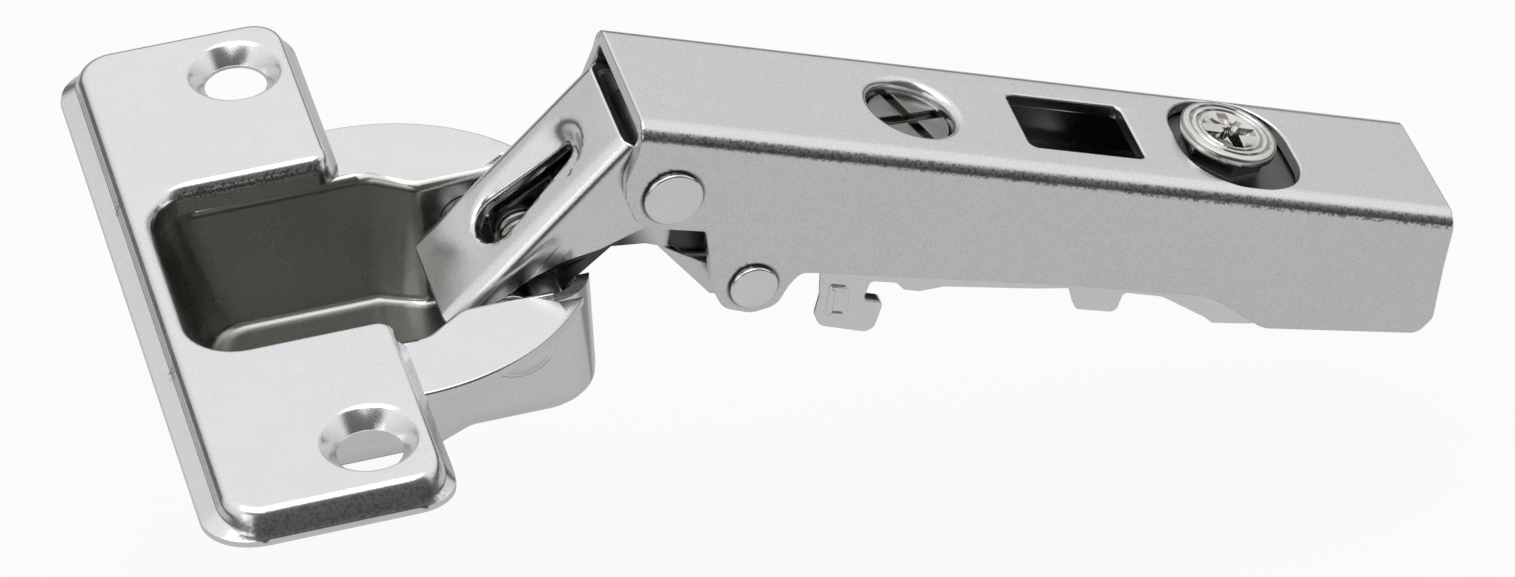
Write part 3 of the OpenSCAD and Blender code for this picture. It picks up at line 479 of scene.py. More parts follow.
def metal(name, colour, roughness, speckle=0.05, grain=0.12, blotch=0.05, round_r=0.0,
          painted_shade=None, depth=0.36, worn=None):
    """A bare or plated metal: fine grain, faint blotches and an uneven sheen. The shade
    mask, if given, paints shade into the colour where shade falls inside a drawn or folded
    piece, and depth sets how light that painted shade is. worn gives what the tool rubbed rough."""
    material = bpy.data.materials.new(name)
    material.use_nodes = True
    tree = material.node_tree
    tree.nodes.clear()
    place = make(tree, "ShaderNodeTexCoord", output="Object")

    def noise(scale, detail):
        return make(tree, "ShaderNodeTexNoise", {"Vector": place, "Scale": scale, "Detail": detail})

    def shaded(by):
        return tuple(min(c * by, 0.98) for c in colour) + (1,)

    fine, cloud, patch = noise(7000, 2.0), noise(420, 3.0), noise(90, 2.0)
    spread = speckle + blotch
    tone = (fine - 0.5) * (2 * speckle) + (cloud - 0.5) * blotch + (patch - 0.5) * blotch
    shade = (tone * (0.5 / spread) + 0.5).mixed(shaded(1 - spread), shaded(1 + spread))
    sheen = cloud * 0.1 + fine * 0.05 + (roughness - 0.075)
    # Painted shade: the base colour is darkened where the mask says shade falls.
    if painted_shade:
        inner = painted_shade(place)
        shade_colours = [tuple(depth * share * c for c in (1, 0.99, 0.92)) + (1,) for share in (0.8, 1.2)]
        shade = inner.mixed(shade, patch.mixed(*shade_colours))
        sheen = sheen + inner * 0.06
    if worn:
        pits = noise(3600, 1.0).over(0.51, 0.56)
        rubbed = worn(place) * pits
        shade = rubbed.mixed(shade, shaded(0.42))
        sheen = sheen + rubbed * 0.1
    broken = None
    if round_r:
        broken = make(tree, "ShaderNodeBevel", {"Radius": round_r * MM}, samples=6)
    relief = fine * 0.7 + cloud * 0.3
    bump = make(tree, "ShaderNodeBump", {
        "Strength": grain, "Distance": 0.00004, "Height": relief, "Normal": broken})
    skin = make(tree, "ShaderNodeBsdfPrincipled", {
        "Base Color": shade, "Metallic": 1.0, "Roughness": sheen, "Normal": bump})
    make(tree, "ShaderNodeOutputMaterial", [skin])
    return material


def millimetres(place):
    """The three coordinates of a point of the surface, in millimetres."""
    return [place.part(axis) * 1000 for axis in "XYZ"]


wall, cup_depth, cup_half_w, throat_half_w = 1.0, 12.0, 10.3, 7.9
cup_back, cup_front, neck_start, neck_end = 16.4, 14.8, 1.6, 5
back_lean, side_lean, corner_r, floor_bend = 3.2, 0.8, 4.0, 2.0


def cup_painted_shade(place):
    """Painted shade: the wall and the floor inside the cup, under its rolled mouth, darkened."""
    x, y, z = millimetres(place)
    in_wall, round_r, blur = 0.5, 4.5, 0.15
    half_w = x.gone(neck_start, neck_end) * (cup_half_w - throat_half_w) + throat_half_w + in_wall
    back = z * (-back_lean / cup_depth) - (cup_back + in_wall - round_r) - x
    side = abs(y) - (half_w - round_r + z * (side_lean / cup_depth))
    out = make(place.tree, "ShaderNodeCombineXYZ", [back.largest(0), side.largest(0)])
    in_plan = out.length().gone(round_r - blur, round_r + blur) * x.gone(15, 15.4)
    return in_plan * z.gone(1.0, 1.8) * z.over(-cup_depth - 0.6, -cup_depth - 0.4)


def rubbed_rolls(place):
    """The rolls that the drawing tool rubbed: the lip of the mouth and the two ends."""
    x, y, z = millimetres(place)
    y = abs(y)
    at_lip = y.over(9.9, 10.2) * y.gone(11.0, 11.3) * x.gone(-2.5, -1.5)
    lip = at_lip * z.over(1.0, 1.3) * z.gone(2.2, 2.45)
    ends = y.over(29.5, 30.0) * z.over(0.4, 0.7)
    return lip.largest(ends * 0.6)


plated_steel = (0.76, 0.755, 0.765)
# The inside of the cup gets painted shade in its colour.
cup_nickel = metal("drawn_nickel", plated_steel, 0.2, speckle=0.14, grain=0.2, blotch=0.06,
                   painted_shade=cup_painted_shade, depth=0.4, worn=rubbed_rolls)


def both_sides(half):
    """The whole outline from its half at positive y, given from its start to its middle."""
    return [(x, -y, *r) for x, y, *r in half] + half[::-1]


def cup_ring(depth, grow, foot):
    """Plan of the cup at one depth, as on the part."""
    share = depth / cup_depth
    out = grow - foot
    back = -cup_back + back_lean * share - out
    wide = cup_half_w - side_lean * share + out
    slim = throat_half_w + out
    outline = both_sides([
        (back, wide, corner_r + grow), (neck_start, wide, 2 + grow), (neck_end, slim, 2),
        (cup_front + out, slim, 2.4 + grow)])
    return [(p.x, p.y, -depth) for p in rounded(outline)]


def cup_skin(grow, bend):
    """One skin of the cup, from its floor round the bend and into its wall."""
    return [cup_ring(cup_depth + grow - bend * (1 - math.cos(a)), grow, bend * (1 - math.sin(a)))
            for a in quarter(8)]


def eased(share):
    """A share kept between 0 and 1, with a soft start and end."""
    share = min(max(share, 0), 1)
    return share * share * (3 - 2 * share)


wall_roll, roll_start, roll_run = 0.8, -1.6, 0.9
rolled_lip = [(wall_roll * (1 - math.sin(a)), wall_roll * (1 - math.cos(a))) for a in quarter(6)]
plain_lip = [(depth, 0) for depth, grow in rolled_lip] + [(-0.3, 0.02), (-0.3, 0.7), (0.4, wall)]
rolled_lip += [(0.04, 0.87), (0.16, 0.94), (0.4, wall)]


def lip_ring(plain, rolled):
    """One ring of the rim: plain under the flange, rolled outwards into the wings before it."""
    pairs = zip(cup_ring(*plain, 0), cup_ring(*rolled, 0))
    return [Vector(a).lerp(Vector(b), eased((a[0] - roll_start) / roll_run)) for a, b in pairs]


rim = [lip_ring(*pair) for pair in zip(plain_lip, rolled_lip)]
skins = cup_skin(wall, floor_bend + wall) + rim[::-1] + cup_skin(0, 0.7)[::-1]
bowl = made("drawn_cup", add_stack(bmesh.new(), skins))

flange_h, flange_back, flange_front, flange_half_l = 2.6, 18.6, 1.0, 29.6
roll_r, mouth_roll, front_roll = 1.2, 0.9, 0.75
hole_back, hole_pitch, hole_r, dimple_rim = 6.0, 48.0, 2.55, 4.1


def ring_hole(centre, radius, sides=48):
    """A round hole as a clockwise outline."""
    return [Vector(p) for p in arc(centre, radius, 0, -360, sides)[:-1]]


def flange_top():
    """Outline of the flat top of the flange, open round the mouth of the cup."""
    back, front = -flange_back + roll_r, -flange_front - front_roll
    half_l = flange_half_l - roll_r + 0.7
    mouth, mouth_back = cup_half_w + mouth_roll, -cup_back - mouth_roll
    outer_r, foot_r, mouth_r = 2.2, 0.8, corner_r + mouth_roll
    return rounded(both_sides([
        (back, half_l, outer_r), (front, half_l, outer_r), (front, mouth, foot_r),
        (mouth_back, mouth, mouth_r)]), 10)


def slopes(*parts):
    """A section drawn as steps that fall at an angle in degrees for a length."""
    points = [(0, 0)]
    for angle, run in parts:
        out, deep = points[-1]
        a = math.radians(angle)
        points.append((out + run * math.cos(a), deep + run * math.sin(a)))
    return points


def run_out(line, out):
    """The section brought straight down to the foot of the flange."""
    return line + [(line[-1][0] + out, flange_h)]


first_roll = [(3.9 + 7.84 * k, 0.123) for k in range(6)]
skirt_line = run_out(slopes(
    *first_roll, (49, 0.2), (52, 0.2), (57.7, 0.064), (65, 0.064), (72.3, 0.064), (75, 0.45),
    (60, 0.12), (45, 0.12), (32, 1.45)), 0.08)
end_line = run_out(slopes(
    *first_roll, (50, 0.1), (55, 0.1), (58, 0.1), (62, 0.4), (63, 0.4), (64, 0.4), (64, 0.3),
    (60, 0.15), (50, 0.15)), 0.05)
mouth_line = [(mouth_roll * math.sin(a), roll_r * (1 - math.cos(a))) for a in quarter(12)]
mouth_line += [(mouth_roll, 1.7), (mouth_roll, 2.2), (mouth_roll, flange_h)]
skirt_under = [(1.9, flange_h), (0.75, 1.95), (0.4, 1.45), (0.2, 1.12), (-0.04, wall)]
end_under = [(1.2, flange_h), (0.6, 1.95), (0.3, 1.45), (0.15, 1.12), (-0.04, wall)]
mouth_under = [(0.1, flange_h), (0.1, 1.9), (0.08, 1.5), (0, 1.2), (-0.04, wall)]
mouth_rear, front_pull = -8, 0.42


def between(one, two, share):
    """A section between two sections of as many points."""
    return [(a[0] * (1 - share) + b[0] * share, a[1] * (1 - share) + b[1] * share)
            for a, b in zip(one, two)]


def flange_edge(point, away):
    """The rolled edge and the skirt, or the roll that runs down into the cup."""
    away = away.normalized()
    if away.x > 0 and point.x < mouth_rear:
        at_mouth = 1
    else:
        at_mouth = abs(away.y) if away.y * point.y < 0 else 0
    steep = 1 - front_pull * max(away.x, 0) ** 2
    skirt = [(out * steep, deep) for out, deep in skirt_line + skirt_under]
    skirt = between(skirt, end_line + end_under, away.y ** 2)
    return between(skirt, mouth_line + mouth_under, at_mouth)


cone_out = dimple_rim - hole_r
dimple_edge = [
    (0, 0), (0.15, 0.02), (0.3, 0.09), (0.45, 0.21), (cone_out - 0.05, 1.42), (cone_out, 1.5),
    (cone_out, 1.75), (cone_out - 0.15, 1.85), (0.4, 1.3), (-0.1, wall)]
dimples = [ring_hole((-hole_back, side * hole_pitch / 2), dimple_rim, 72) for side in (-1, 1)]
flange = made("flange", add_sheet(
    bmesh.new(), [flange_top(), *dimples], lambda x, y, d: (x, y, flange_h - d), wall,
    edges={0: flange_edge, 1: dimple_edge, 2: dimple_edge}))

wing_edge_r = 0.25
wing_r = 17.35 - wing_edge_r
wing_back_x, wing_front_x, wing_front_y, wing_root = -0.6, cup_front - 2.3, 9.9, 2.0
wing_angle = math.degrees(math.asin(wing_front_y / wing_r))
wing_back_angle = math.degrees(math.acos(wing_back_x / wing_r))


def wing_edge(point, away):
    """Round on the free edge, square where the wing runs on into the rolled wall."""
    free = point.length > wing_r - 0.4 or point.x > wing_front_x - wing_root - 0.1
    return [(out if free else 0, deep) for out, deep in punched_edge(wall, wing_edge_r)]


rolled_top = [Vector(p[:2]) for p in cup_ring(0, wall_roll, 0)
              if p[1] > 0 and wing_back_x + 0.1 < p[0] < wing_front_x - wing_root - 0.2]
wing = [Vector((wing_back_x, cup_half_w + wall_roll)), *sorted(rolled_top, key=lambda p: p.x)]
wing += rounded([
    (wing_front_x - wing_root, throat_half_w + wall_roll), (wing_front_x, wing_front_y, 0.5),
    *arc((0, 0), wing_r, wing_angle, wing_back_angle, 40)])
shell = bmesh.new()
for loop in ([Vector((p.x, -p.y)) for p in reversed(wing)], wing):
    add_sheet(shell, [loop], lambda x, y, d: (x, y, -d), wall, edges={0: wing_edge})
wings = made("wings", shell)

notch_half_w, notch_depth, front_drop, past_front = 6.2, 4.9, 0.7, cup_front + 4
front_half_w = throat_half_w + 1.6
cup_1 = Vector(joints["outer_link_fold"]["pos_m"]) / MM
cup_2 = Vector(joints["inner_link_fold"]["pos_m"]) / MM
cup = carved(bowl, [
    block((cup_front - 2.6, -front_half_w, -front_drop), (past_front, front_half_w, 3)),
    block((cup_front - 2, -notch_half_w, -notch_depth), (past_front, notch_half_w, 2)),
    drill(1.5, cup_1), drill(1.2, cup_2),
])
join(smoothed(cup, bevel=0.22), smoothed(flange), smoothed(wings))
dress(cup, cup_nickel, "cup", "nickel_steel", "cup_shell")

# Folded arm
# A channel of nickel-plated sheet steel, 1.2 mm thick, folded along two long
# bends, with a drawn dimple, a window, a round port and two riveted lobes.
arm_up = Vector(joints["side_screw_turn"]["axis"])
arm_along = Vector((arm_up.z, 0, -arm_up.x))
pivot_1, pivot_2 = (5.14, -6.1), (14.61, -13.7)
arm_1 = Vector(joints["arm_fold"]["pos_m"]) / MM
arm_start = arm_1 - arm_along * pivot_1[0] - arm_up * pivot_1[1]
arm_2 = arm_start + arm_along * pivot_2[0] + arm_up * pivot_2[1]


def in_arm(u, y, w):
    """A point of the arm's own frame: along its top, across, and out of its top."""
    return arm_start + arm_along * u + arm_up * w + Vector((0, y, 0))


def channel(section, local):
    """Wraps a flat blank round a channel, whose section is its half width, the height of
    its top and the radius of its bends. s runs across the outer face from its middle."""
    half_w, top, bend_r = section
    flat = half_w - bend_r
    turn = bend_r * math.pi / 2

    def place(u, s, depth):
        run = abs(s)
        angle = min(max((run - flat) / bend_r, 0), math.pi / 2)
        r = bend_r - depth
        y = min(run, flat) + r * math.sin(angle)
        w = top - bend_r + r * math.cos(angle) - max(run - flat - turn, 0)
        return local(u, math.copysign(y, s), w)

    return place


def bend_lines(section, start, end):
    """Lines along a blank at which its two bends turn."""
    half_w, top, bend_r = section
    runs = [half_w - bend_r + bend_r * a for a in quarter(8)]
    return [[(start, side * run), (end, side * run)] for run in runs for side in (-1, 1)]


def unfolded(section, w):
    """How far across the blank a height w of the channel's sides comes to lie."""
    half_w, top, bend_r = section
    return half_w - bend_r + bend_r * (math.pi / 2 - 1) + top - w


def fold_down(section, path, steps=8):
    """A blank's outline from the outline of one side of the channel, given from
    front to back along its lower edge as (u, w) or (u, w, radius)."""
    half = [(u, max(unfolded(section, w), 0), *r) for u, w, *r in path]
    return rounded(both_sides(half), steps)


def cheek_holes(section, *holes):
    """Round holes (u, w, radius) through both sides of a channel."""
    return [ring_hole((u, side * unfolded(section, w)), r)
            for side in (-1, 1) for u, w, r in holes]


def opening(start, length, half_w, radius, steps=8):
    """A four-sided opening in the middle of a blank, with round corners."""
    end = start + length
    return rounded([(start, -half_w, radius), (start, half_w, radius),
                    (end, half_w, radius), (end, -half_w, radius)], steps)


arm_half_w, arm_wall, arm_l = 7.2, 1.2, 73.0
arm_section = (arm_half_w, 0, 1.6)
arm_side = [
    (0.8, 0.0, 0.4), (1.0, -2.4, 1.2), (0.9, -5.2, 2), (1.5, -7.0, 2), (3.0, -9.0, 1.4),
    (4.6, -9.4, 1.5), (9.0, -9.15, 0.35), (9.9, -11.05, 2), (11.25, -14.4, 2), (12.9, -16.3, 1.6),
    (15.4, -16.5, 1.8), (17.3, -15.5, 1.6), (17.7, -13.4, 1.5), (18.3, -12.15, 0.9),
    (20.2, -11.95, 2), (41, -10.75, 8), (54, -10.4, 4), (56.4, -11.3, 2), (60.1, -13, 3),
    (arm_l + 1.2, -11.9, 1.2), (arm_l + 2, -10.2, 1), (arm_l + 0.9, -5.2, 3), (arm_l, 0.0, 0.6),
]
side_screw_u, fix_screw_u, pocket_rim, window_half_w = 26.0, 54.1, 4.35, 3.6
window = opening(start=35.4, length=10.3, half_w=window_half_w, radius=0.7)
port = opening(start=49.7, length=10.6, half_w=5.9, radius=4.6, steps=12)
rivet_bores = cheek_holes(arm_section, (*pivot_1, 1.5), (*pivot_2, 1.1))
screw_pocket = [
    (0, 0), (0.16, 0.02), (0.33, 0.1), (0.48, 0.24), (0.6, 0.45), (0.68, 0.75), (0.76, 1.2),
    (0.78, 2.15), (0.9, 2.3), (2.25, 2.3), (2.3, 2.35), (2.3, 3.15), (2.2, 3.2), (0.1, 3.2),
    (-0.1, 3.0), (-0.1, arm_wall + 0.2), (-0.3, arm_wall),
]
dimple = ring_hole((side_screw_u, 0), pocket_rim, 72)
arm = smoothed(made("folded_arm", add_sheet(
    bmesh.new(), [fold_down(arm_section, arm_side), dimple, window, port, *rivet_bores],
    channel(arm_section, in_arm), arm_wall,
    lines=bend_lines(arm_section, -5, arm_l + 8), edges={1: screw_pocket})))


def arm_height(place):
    """Height over the top of the arm, and distance from its middle, in millimetres."""
    x, y, z = millimetres(place)
    return x * arm_up.x + z * arm_up.z - arm_start.dot(arm_up), abs(y)


def from_axis(place, pivot):
    """Distance from the axis of a pivot, in millimetres."""
    for other, operation in (((pivot * MM)[:], "SUBTRACT"), ((1000, 0, 1000), "MULTIPLY")):
        place = make(place.tree, "ShaderNodeVectorMath", [place, other], operation=operation)
    return place.length()


def arm_painted_shade(place):
    """Painted shade on the inner faces of the channel, and a painted shadow ring round each of its
    two rivets.
    """
    w, y = arm_height(place)
    front_rivet_shade = from_axis(place, arm_1).gone(2.45, 2.75)
    rear_rivet_shade = from_axis(place, arm_2).gone(2.02, 2.3)
    inner = w.gone(-1.6, -1.25) * y.gone(5.9, 6.1)
    return inner.largest(front_rivet_shade.largest(rear_rivet_shade) * 0.8 * y.over(7.0, 7.1))


def along_bends(place):
    """The two long bends, which the press rubbed rough."""
    w, y = arm_height(place)
    return w.over(-1.4, -1.1) * w.gone(-0.5, -0.35) * y.over(5.9, 6.3)


satin = metal("satin_nickel", (0.72, 0.715, 0.73), 0.22, speckle=0.2, grain=0.25, blotch=0.04,
              painted_shade=arm_painted_shade, depth=0.07, worn=along_bends)
dress(arm, satin, "arm", "nickel_steel", "arm_shell")

# Outer link
# A short channel of the same plated sheet, 1 mm thick. Its back is dished and
# slotted, and its two cheeks turn on the domed rivets and on the front rivet.
link_rise_cup, link_rise_arm, link_half_w, link_wall = 4.03, 5.9, 5.8, 1.0
link_section = (link_half_w, link_rise_cup, 1.5)
link_run = arm_1 - cup_1
link_fall = link_rise_arm - link_rise_cup
link_angle = math.atan2(link_run.z, link_run.x) + math.asin(link_fall / link_run.length)
link_reach = math.sqrt(link_run.length ** 2 - link_fall ** 2)


def in_link(x, y, z):
    """A point of the outer link's own frame, which starts at the cup pivot."""
    c, s = math.cos(link_angle), math.sin(link_angle)
    return cup_1 + Vector((x * c - z * s, y, x * s + z * c))


over_cup, over_arm, eye_cup_r, eye_arm_r = 3.28, 1.0, 2.35, 2.9
tip = (link_reach, -link_fall)
link_side = [
    (-over_cup, link_rise_cup, 0.4), (-over_cup, link_rise_cup - 1.9, 0.5),
    *arc((0, 0), eye_cup_r, 165, 410, 26), (4.2, 1.13, 3), (6.8, 0.05, 4), (9.15, -1.57, 2),
    *arc(tip, eye_arm_r, 235, 382, 18), (link_reach + over_arm, link_rise_cup, 0.4),
]
dish_mid, dish_depth, dish_r, dish_side = link_reach / 2 - 0.4, 0.95, 3.4, 0.15


def drop_slot():
    """The slot, wide at its lower end and narrow at its upper one, as a clockwise outline."""
    middle, length, side, low_r, high_r = dish_mid - 0.35, 10.5, 0.35, 2.1, 0.95
    low, high = middle - length / 2 + low_r, middle + length / 2 - high_r
    turn = math.degrees(math.acos((low_r - high_r) / (high - low)))
    points = arc((low, side), low_r, turn, 360 - turn, 28)
    points += arc((high, side), high_r, -turn, turn, 20)
    return [Vector(p) for p in points][::-1]


def dish(u, s):
    """How far the back of the link is pressed in at a point of the blank: steep along
    its near side and round its lower end, and easy on the other two."""
    deepest_u = min(max(u, dish_mid - 2.4), dish_mid + 3.4)
    way = Vector((u - deepest_u, s - dish_side))
    easy = (way.y + 0.6 * way.x) / max(way.length, 1e-6)
    slope = 0.5 + 1.2 * min(max(easy + 0.4, 0), 1.4)
    return -dish_depth * eased((dish_r - way.length) / slope)


dish_grid = [[(dish_mid - 7.2, -3.6 + 0.28 * k), (dish_mid + 7.8, -3.6 + 0.28 * k)]
             for k in range(27)]
dish_grid += [[(dish_mid - 7.2 + 0.3 * k, -3.6), (dish_mid - 7.2 + 0.3 * k, 3.68)]
              for k in range(51)]
link_bores = cheek_holes(link_section, (0, 0, 1.55), (*tip, 1.55))
outer_link = smoothed(made("dished_link", add_sheet(
    bmesh.new(), [fold_down(link_section, link_side), drop_slot(), *link_bores],
    channel(link_section, in_link), link_wall,
    lines=bend_lines(link_section, -8, link_reach + 8) + dish_grid, bulge=dish)))
nickel = metal("nickel_plate", plated_steel, 0.2, speckle=0.14, grain=0.2, blotch=0.06)
dress(outer_link, nickel, "outer_link", "nickel_steel", "outer_link")

# Carriage
# A bright zinc channel inside the arm, 1.1 mm thick. Its hook, tab and wedge
# catch the mounting plate, and the web is cut for the nut and the screw.
carriage_half_w, carriage_wall, carriage_top = 5.8, 1.1, -6.2
carriage_section = (carriage_half_w, carriage_top, 1.4)
carriage_side = [
    (20.5, carriage_top, 0.3), (20.5, -11.6, 0.6), (20.9, -13, 1), (21.7, -15.6, 1),
    (21.9, -18, 1), (27.1, -18.2, 0.9), (27, -15, 0.6), (25.2, -15, 0.3), (25.2, -13.2, 0.4),
    (27.4, -13.1, 0.5), (28.3, -13.7, 0.5), (29.7, -13.7, 0.6), (31.6, -13, 1), (39.5, -12.3, 4),
    (42.6, -11.9, 0.5), (43.8, -13.9, 0.5), (47.4, -13.8, 0.6), (47.4, -11.8, 0.4),
    (50.9, -11.8, 2), (55.4, -13.4, 1), (56.3, -13.9, 0.6), (59.6, -13.6, 0.6), (65, -12.4, 1),
    (66, -11.4, 0.5), (66, carriage_top, 0.3),
]
web_window = opening(start=36.2, length=8.9, half_w=window_half_w, radius=0.6, steps=5)
trunnion_holes = cheek_holes(carriage_section, (fix_screw_u, -9.6, 1.25))
screw_hole = ring_hole((fix_screw_u, 0), 2.9)
nut_slot = block((20.6, -2.75, -9), (29.6, 2.75, -5), in_arm)
carriage = carved(made("hooked_carriage", add_sheet(
    bmesh.new(), [
        fold_down(carriage_section, carriage_side, 5), web_window, screw_hole, *trunnion_holes],
    channel(carriage_section, in_arm), carriage_wall,
    lines=bend_lines(carriage_section, 15, 72), edge_r=0.15)), [nut_slot])
boss = rounded([
    (21.75, -13.85, 0.3), (22.45, -16.9, 0.3), (24.1, -16.8, 0.4), (24.15, -16.1, 0.6),
    (23.6, -14.2, 0.6), (23.2, -13.85, 0.3)], 4)
boss_steps = ((0, -0.3), (0, 0.12), (0.12, 0.24), (0.4, 0.24), (0.52, 0.12), (0.6, 0.1))
shell = bmesh.new()
for side in (-1, 1):
    add_stack(shell, [
        [in_arm(p.x, side * (carriage_half_w + height), p.y) for p in shifted(boss, inset)]
        for inset, height in boss_steps])
join(smoothed(carriage), smoothed(made("hook_bosses", shell)))


def carriage_painted_shade(place):
    """Painted shade on the web and the inner faces of the inner channel."""
    return arm_height(place)[1].gone(4.9, 5.2)


zinc = metal("bright_zinc", (0.82, 0.825, 0.84), 0.26, speckle=0.12, blotch=0.08,
             painted_shade=carriage_painted_shade, depth=0.1)
dress(carriage, zinc, "carriage", "zinc_steel", "carriage")

# Rivets
# Cold-headed steel rivets, polished in the drum. Two domed ones hold the outer
# link in the cup, and two flat-headed ones go through the arm.
bright = metal("polished_rivet", (0.8, 0.81, 0.83), 0.18, speckle=0.08, blotch=0.14)


def head_profile(shank_r, head_r, start, seat, height, edge, dome, ring=0.0):
    """Half section of a rivet: its shank, the underside of its head and the head, on
    whose face the heading tool may leave a shallow ring."""
    profile = [
        (0, start), (shank_r, start), (shank_r, seat), (head_r - 0.22, seat),
        (head_r - 0.2, seat + 0.12), (head_r, seat + 0.24)]
    top, inner = seat + height, head_r - edge
    profile += [(head_r - edge * (1 - math.cos(a)), top - dome - edge * (1 - math.sin(a)))
                for a in quarter(8)[1:]]
    for k in range(1, 8):
        share = 1 - k / 8
        profile.append((inner * share, top - dome * share * share - (ring if 3 <= k else 0)))
    return profile + [(0, top)]


def riveted(name, node, body, pivot, profile):
    """A pair of rivet heads on both sides of a pivot."""
    shell = bmesh.new()
    for side in (-1, 1):
        add_turned(shell, profile, across(pivot, side))
    dress(smoothed(made(name, shell)), bright, body, "polished_rivet", node)


riveted("domed_rivets", "outer_link_cup_rivets", "cup", cup_1, head_profile(
    1.5, 3.1, start=link_half_w - link_wall, seat=throat_half_w + wall, height=1.55, edge=0.25,
    dome=1.2))
flat_head = dict(start=0, seat=arm_half_w, height=0.52, edge=0.2, dome=0.03, ring=0.07)
riveted("front_rivet", "outer_link_arm_rivet", "arm", arm_1, head_profile(1.5, 2.38, **flat_head))
riveted("rear_rivet", "inner_link_arm_rivet", "arm", arm_2, head_profile(1.1, 1.95, **flat_head))

# Fixing screw
# A machine screw of plated steel. Its ringed round head with a cross recess
# stands over the arm, on a six-sided collar and a washer in the port.
head_r, head_top, head_foot = 4.15, 1.3, 0.35
collar_r, collar_foot, core_r, washer_r = 3.55, -2.2, 3.0, 4.2
shank_r, shank_end, face_edge = 2.5, -11.8, 0.35


def under_head_shade(place):
    """Painted shade in the grooves of the head, on the collar under it and on the shank."""
    w, y = arm_height(place)
    grooves = w.gone(1.2, 1.25) * w.over(0.9, 1.0) * 0.7
    collar = w.gone(0.6, 0.7) * w.over(-1.12, -1.04)
    return collar.largest(grooves).largest(w.gone(-1.3, -1.2)) * 0.8


screw_steel = metal("screw_plate", (0.72, 0.705, 0.68), 0.16, speckle=0.08, blotch=0.14,
                    painted_shade=under_head_shade, depth=0.12)


def at_screw(u):
    """A frame on the axis of a screw of the arm."""
    return lambda x, y, w: in_arm(u + x, y, w)


def screw_tool(screw_u, angle, levels):
    """A tool on the axis of a screw, turned by an angle, from outlines at heights w."""
    spin, place = Matrix.Rotation(angle, 3, "Z"), at_screw(screw_u)
    rings = [[place(*(spin @ Vector((x, y, w)))) for x, y in outline] for outline, w in levels]
    return made("screw_tool", add_stack(bmesh.new(), rings))


groove = head_top - 0.14
face = [(0, head_top - 0.03), (2.3, head_top - 0.03), (2.35, head_top), (2.6, head_top),
        (2.7, groove), (2.85, groove), (2.95, head_top), (3.2, head_top), (3.3, groove),
        (3.45, groove), (3.55, head_top), (head_r - face_edge, head_top - 0.02)]
head_edge = [
    (head_r - face_edge * (1 - math.sin(a)), head_top - 0.02 - face_edge * (1 - math.cos(a)))
    for a in quarter(6)[1:]]
under_head = [
    (head_r, head_foot + 0.15), (head_r - 0.15, head_foot), (core_r, head_foot),
    (core_r, collar_foot), (washer_r - 0.1, collar_foot), (washer_r, collar_foot - 0.1),
    (washer_r, collar_foot - 0.5), (shank_r, collar_foot - 0.5), (shank_r, shank_end + 0.4),
    (shank_r - 0.4, shank_end), (0, shank_end)]
screw = made("ringed_fixing_screw", add_turned(
    bmesh.new(), face + head_edge + under_head, at_screw(fix_screw_u), 96))
hexagon, waist = [arc((0, 0), r, 0, 300, 5) for r in (collar_r, collar_r * 0.94)]
collar = screw_tool(fix_screw_u, 0.4, (
    (waist, collar_foot - 0.05), (hexagon, collar_foot + 0.3), (hexagon, head_foot - 0.25),
    (waist, head_foot + 0.05)))
recess = []
for k in range(8):
    reach, half_w, deep = (2.15, 0.36, 0.7) if k % 2 else (2.5, 0.66, 1.2)
    foot = [(-0.2, -half_w * 0.6), (reach * 0.45, -half_w * 0.35), (reach * 0.45, half_w * 0.35),
            (-0.2, half_w * 0.6)]
    mouth = [(-0.2, -half_w), (reach, -half_w * 0.75), (reach, half_w * 0.75), (-0.2, half_w)]
    recess.append(screw_tool(fix_screw_u, math.pi / 4 * k, (
        (foot, head_top - 0.1 - deep), (mouth, head_top + 0.05))))
carved(carved(screw, [collar], "UNION"), recess)
dress(smoothed(screw, bevel=0.05), screw_steel, "fixing_screw", "screw_steel", "fixing_screw")

# Side adjusting screw
# A short plated screw whose flat head turns in the arm's dimple. A cross is
# milled right across its head.
seat, sink, side_head_r, side_shank_r, side_end = -2.3, -1.0, 3.5, 2, -11.4
side_screw = made("side_screw", add_turned(bmesh.new(), [
    (0, sink), (side_head_r - 0.25, sink), (side_head_r - 0.07, sink - 0.07),
    (side_head_r, sink - 0.25), (side_head_r, seat + 0.1), (side_head_r - 0.05, seat + 0.05),
    (side_shank_r, seat + 0.05), (side_shank_r, side_end + 0.3), (side_shank_r - 0.3, side_end),
    (0, side_end)], at_screw(side_screw_u), 72))
mill, slot_foot = [(-4, -0.52), (4, -0.52), (4, 0.52), (-4, 0.52)], sink - 0.75
slots = [screw_tool(side_screw_u, turn, ((mill, slot_foot), (mill, 0)))
         for turn in (0.35, 0.35 + math.pi / 2)]
smoothed(carved(side_screw, slots), bevel=0.06)
dress(side_screw, screw_steel, "side_screw", "screw_steel", "side_adjusting_screw")

# Closing spring
# Oiled spring steel wire wound round the pin of the inner link. One leg rests
# on the front wall of the cup, and the other pushes up under the link's web.
spring_steel = metal("oiled_spring_steel", (0.26, 0.25, 0.23), 0.24, round_r=0.05)
wire_r, coil_r, coil_turns, coil_half_l = 0.45, 1.9, 4.944, 2.25
cup_leg_l, link_leg_l = 7.2, 4.6
tree = bpy.data.node_groups.new("wound_wire", "GeometryNodeTree")
tree.is_modifier = True
sockets = {
    "Geometry": "Geometry", "Coil radius": "Float", "Turns": "Float", "Coil length": "Float",
    "Wire radius": "Float", "Cup leg": "Vector", "Link leg start": "Vector",
    "Link leg": "Vector", "Wire finish": "Material"}
for name, kind in sockets.items():
    tree.interface.new_socket(name, in_out="INPUT", socket_type="NodeSocket" + kind)
tree.interface.new_socket("Geometry", in_out="OUTPUT", socket_type="NodeSocketGeometry")
inputs = make(tree, "NodeGroupInput").socket.node.outputs[:-1]
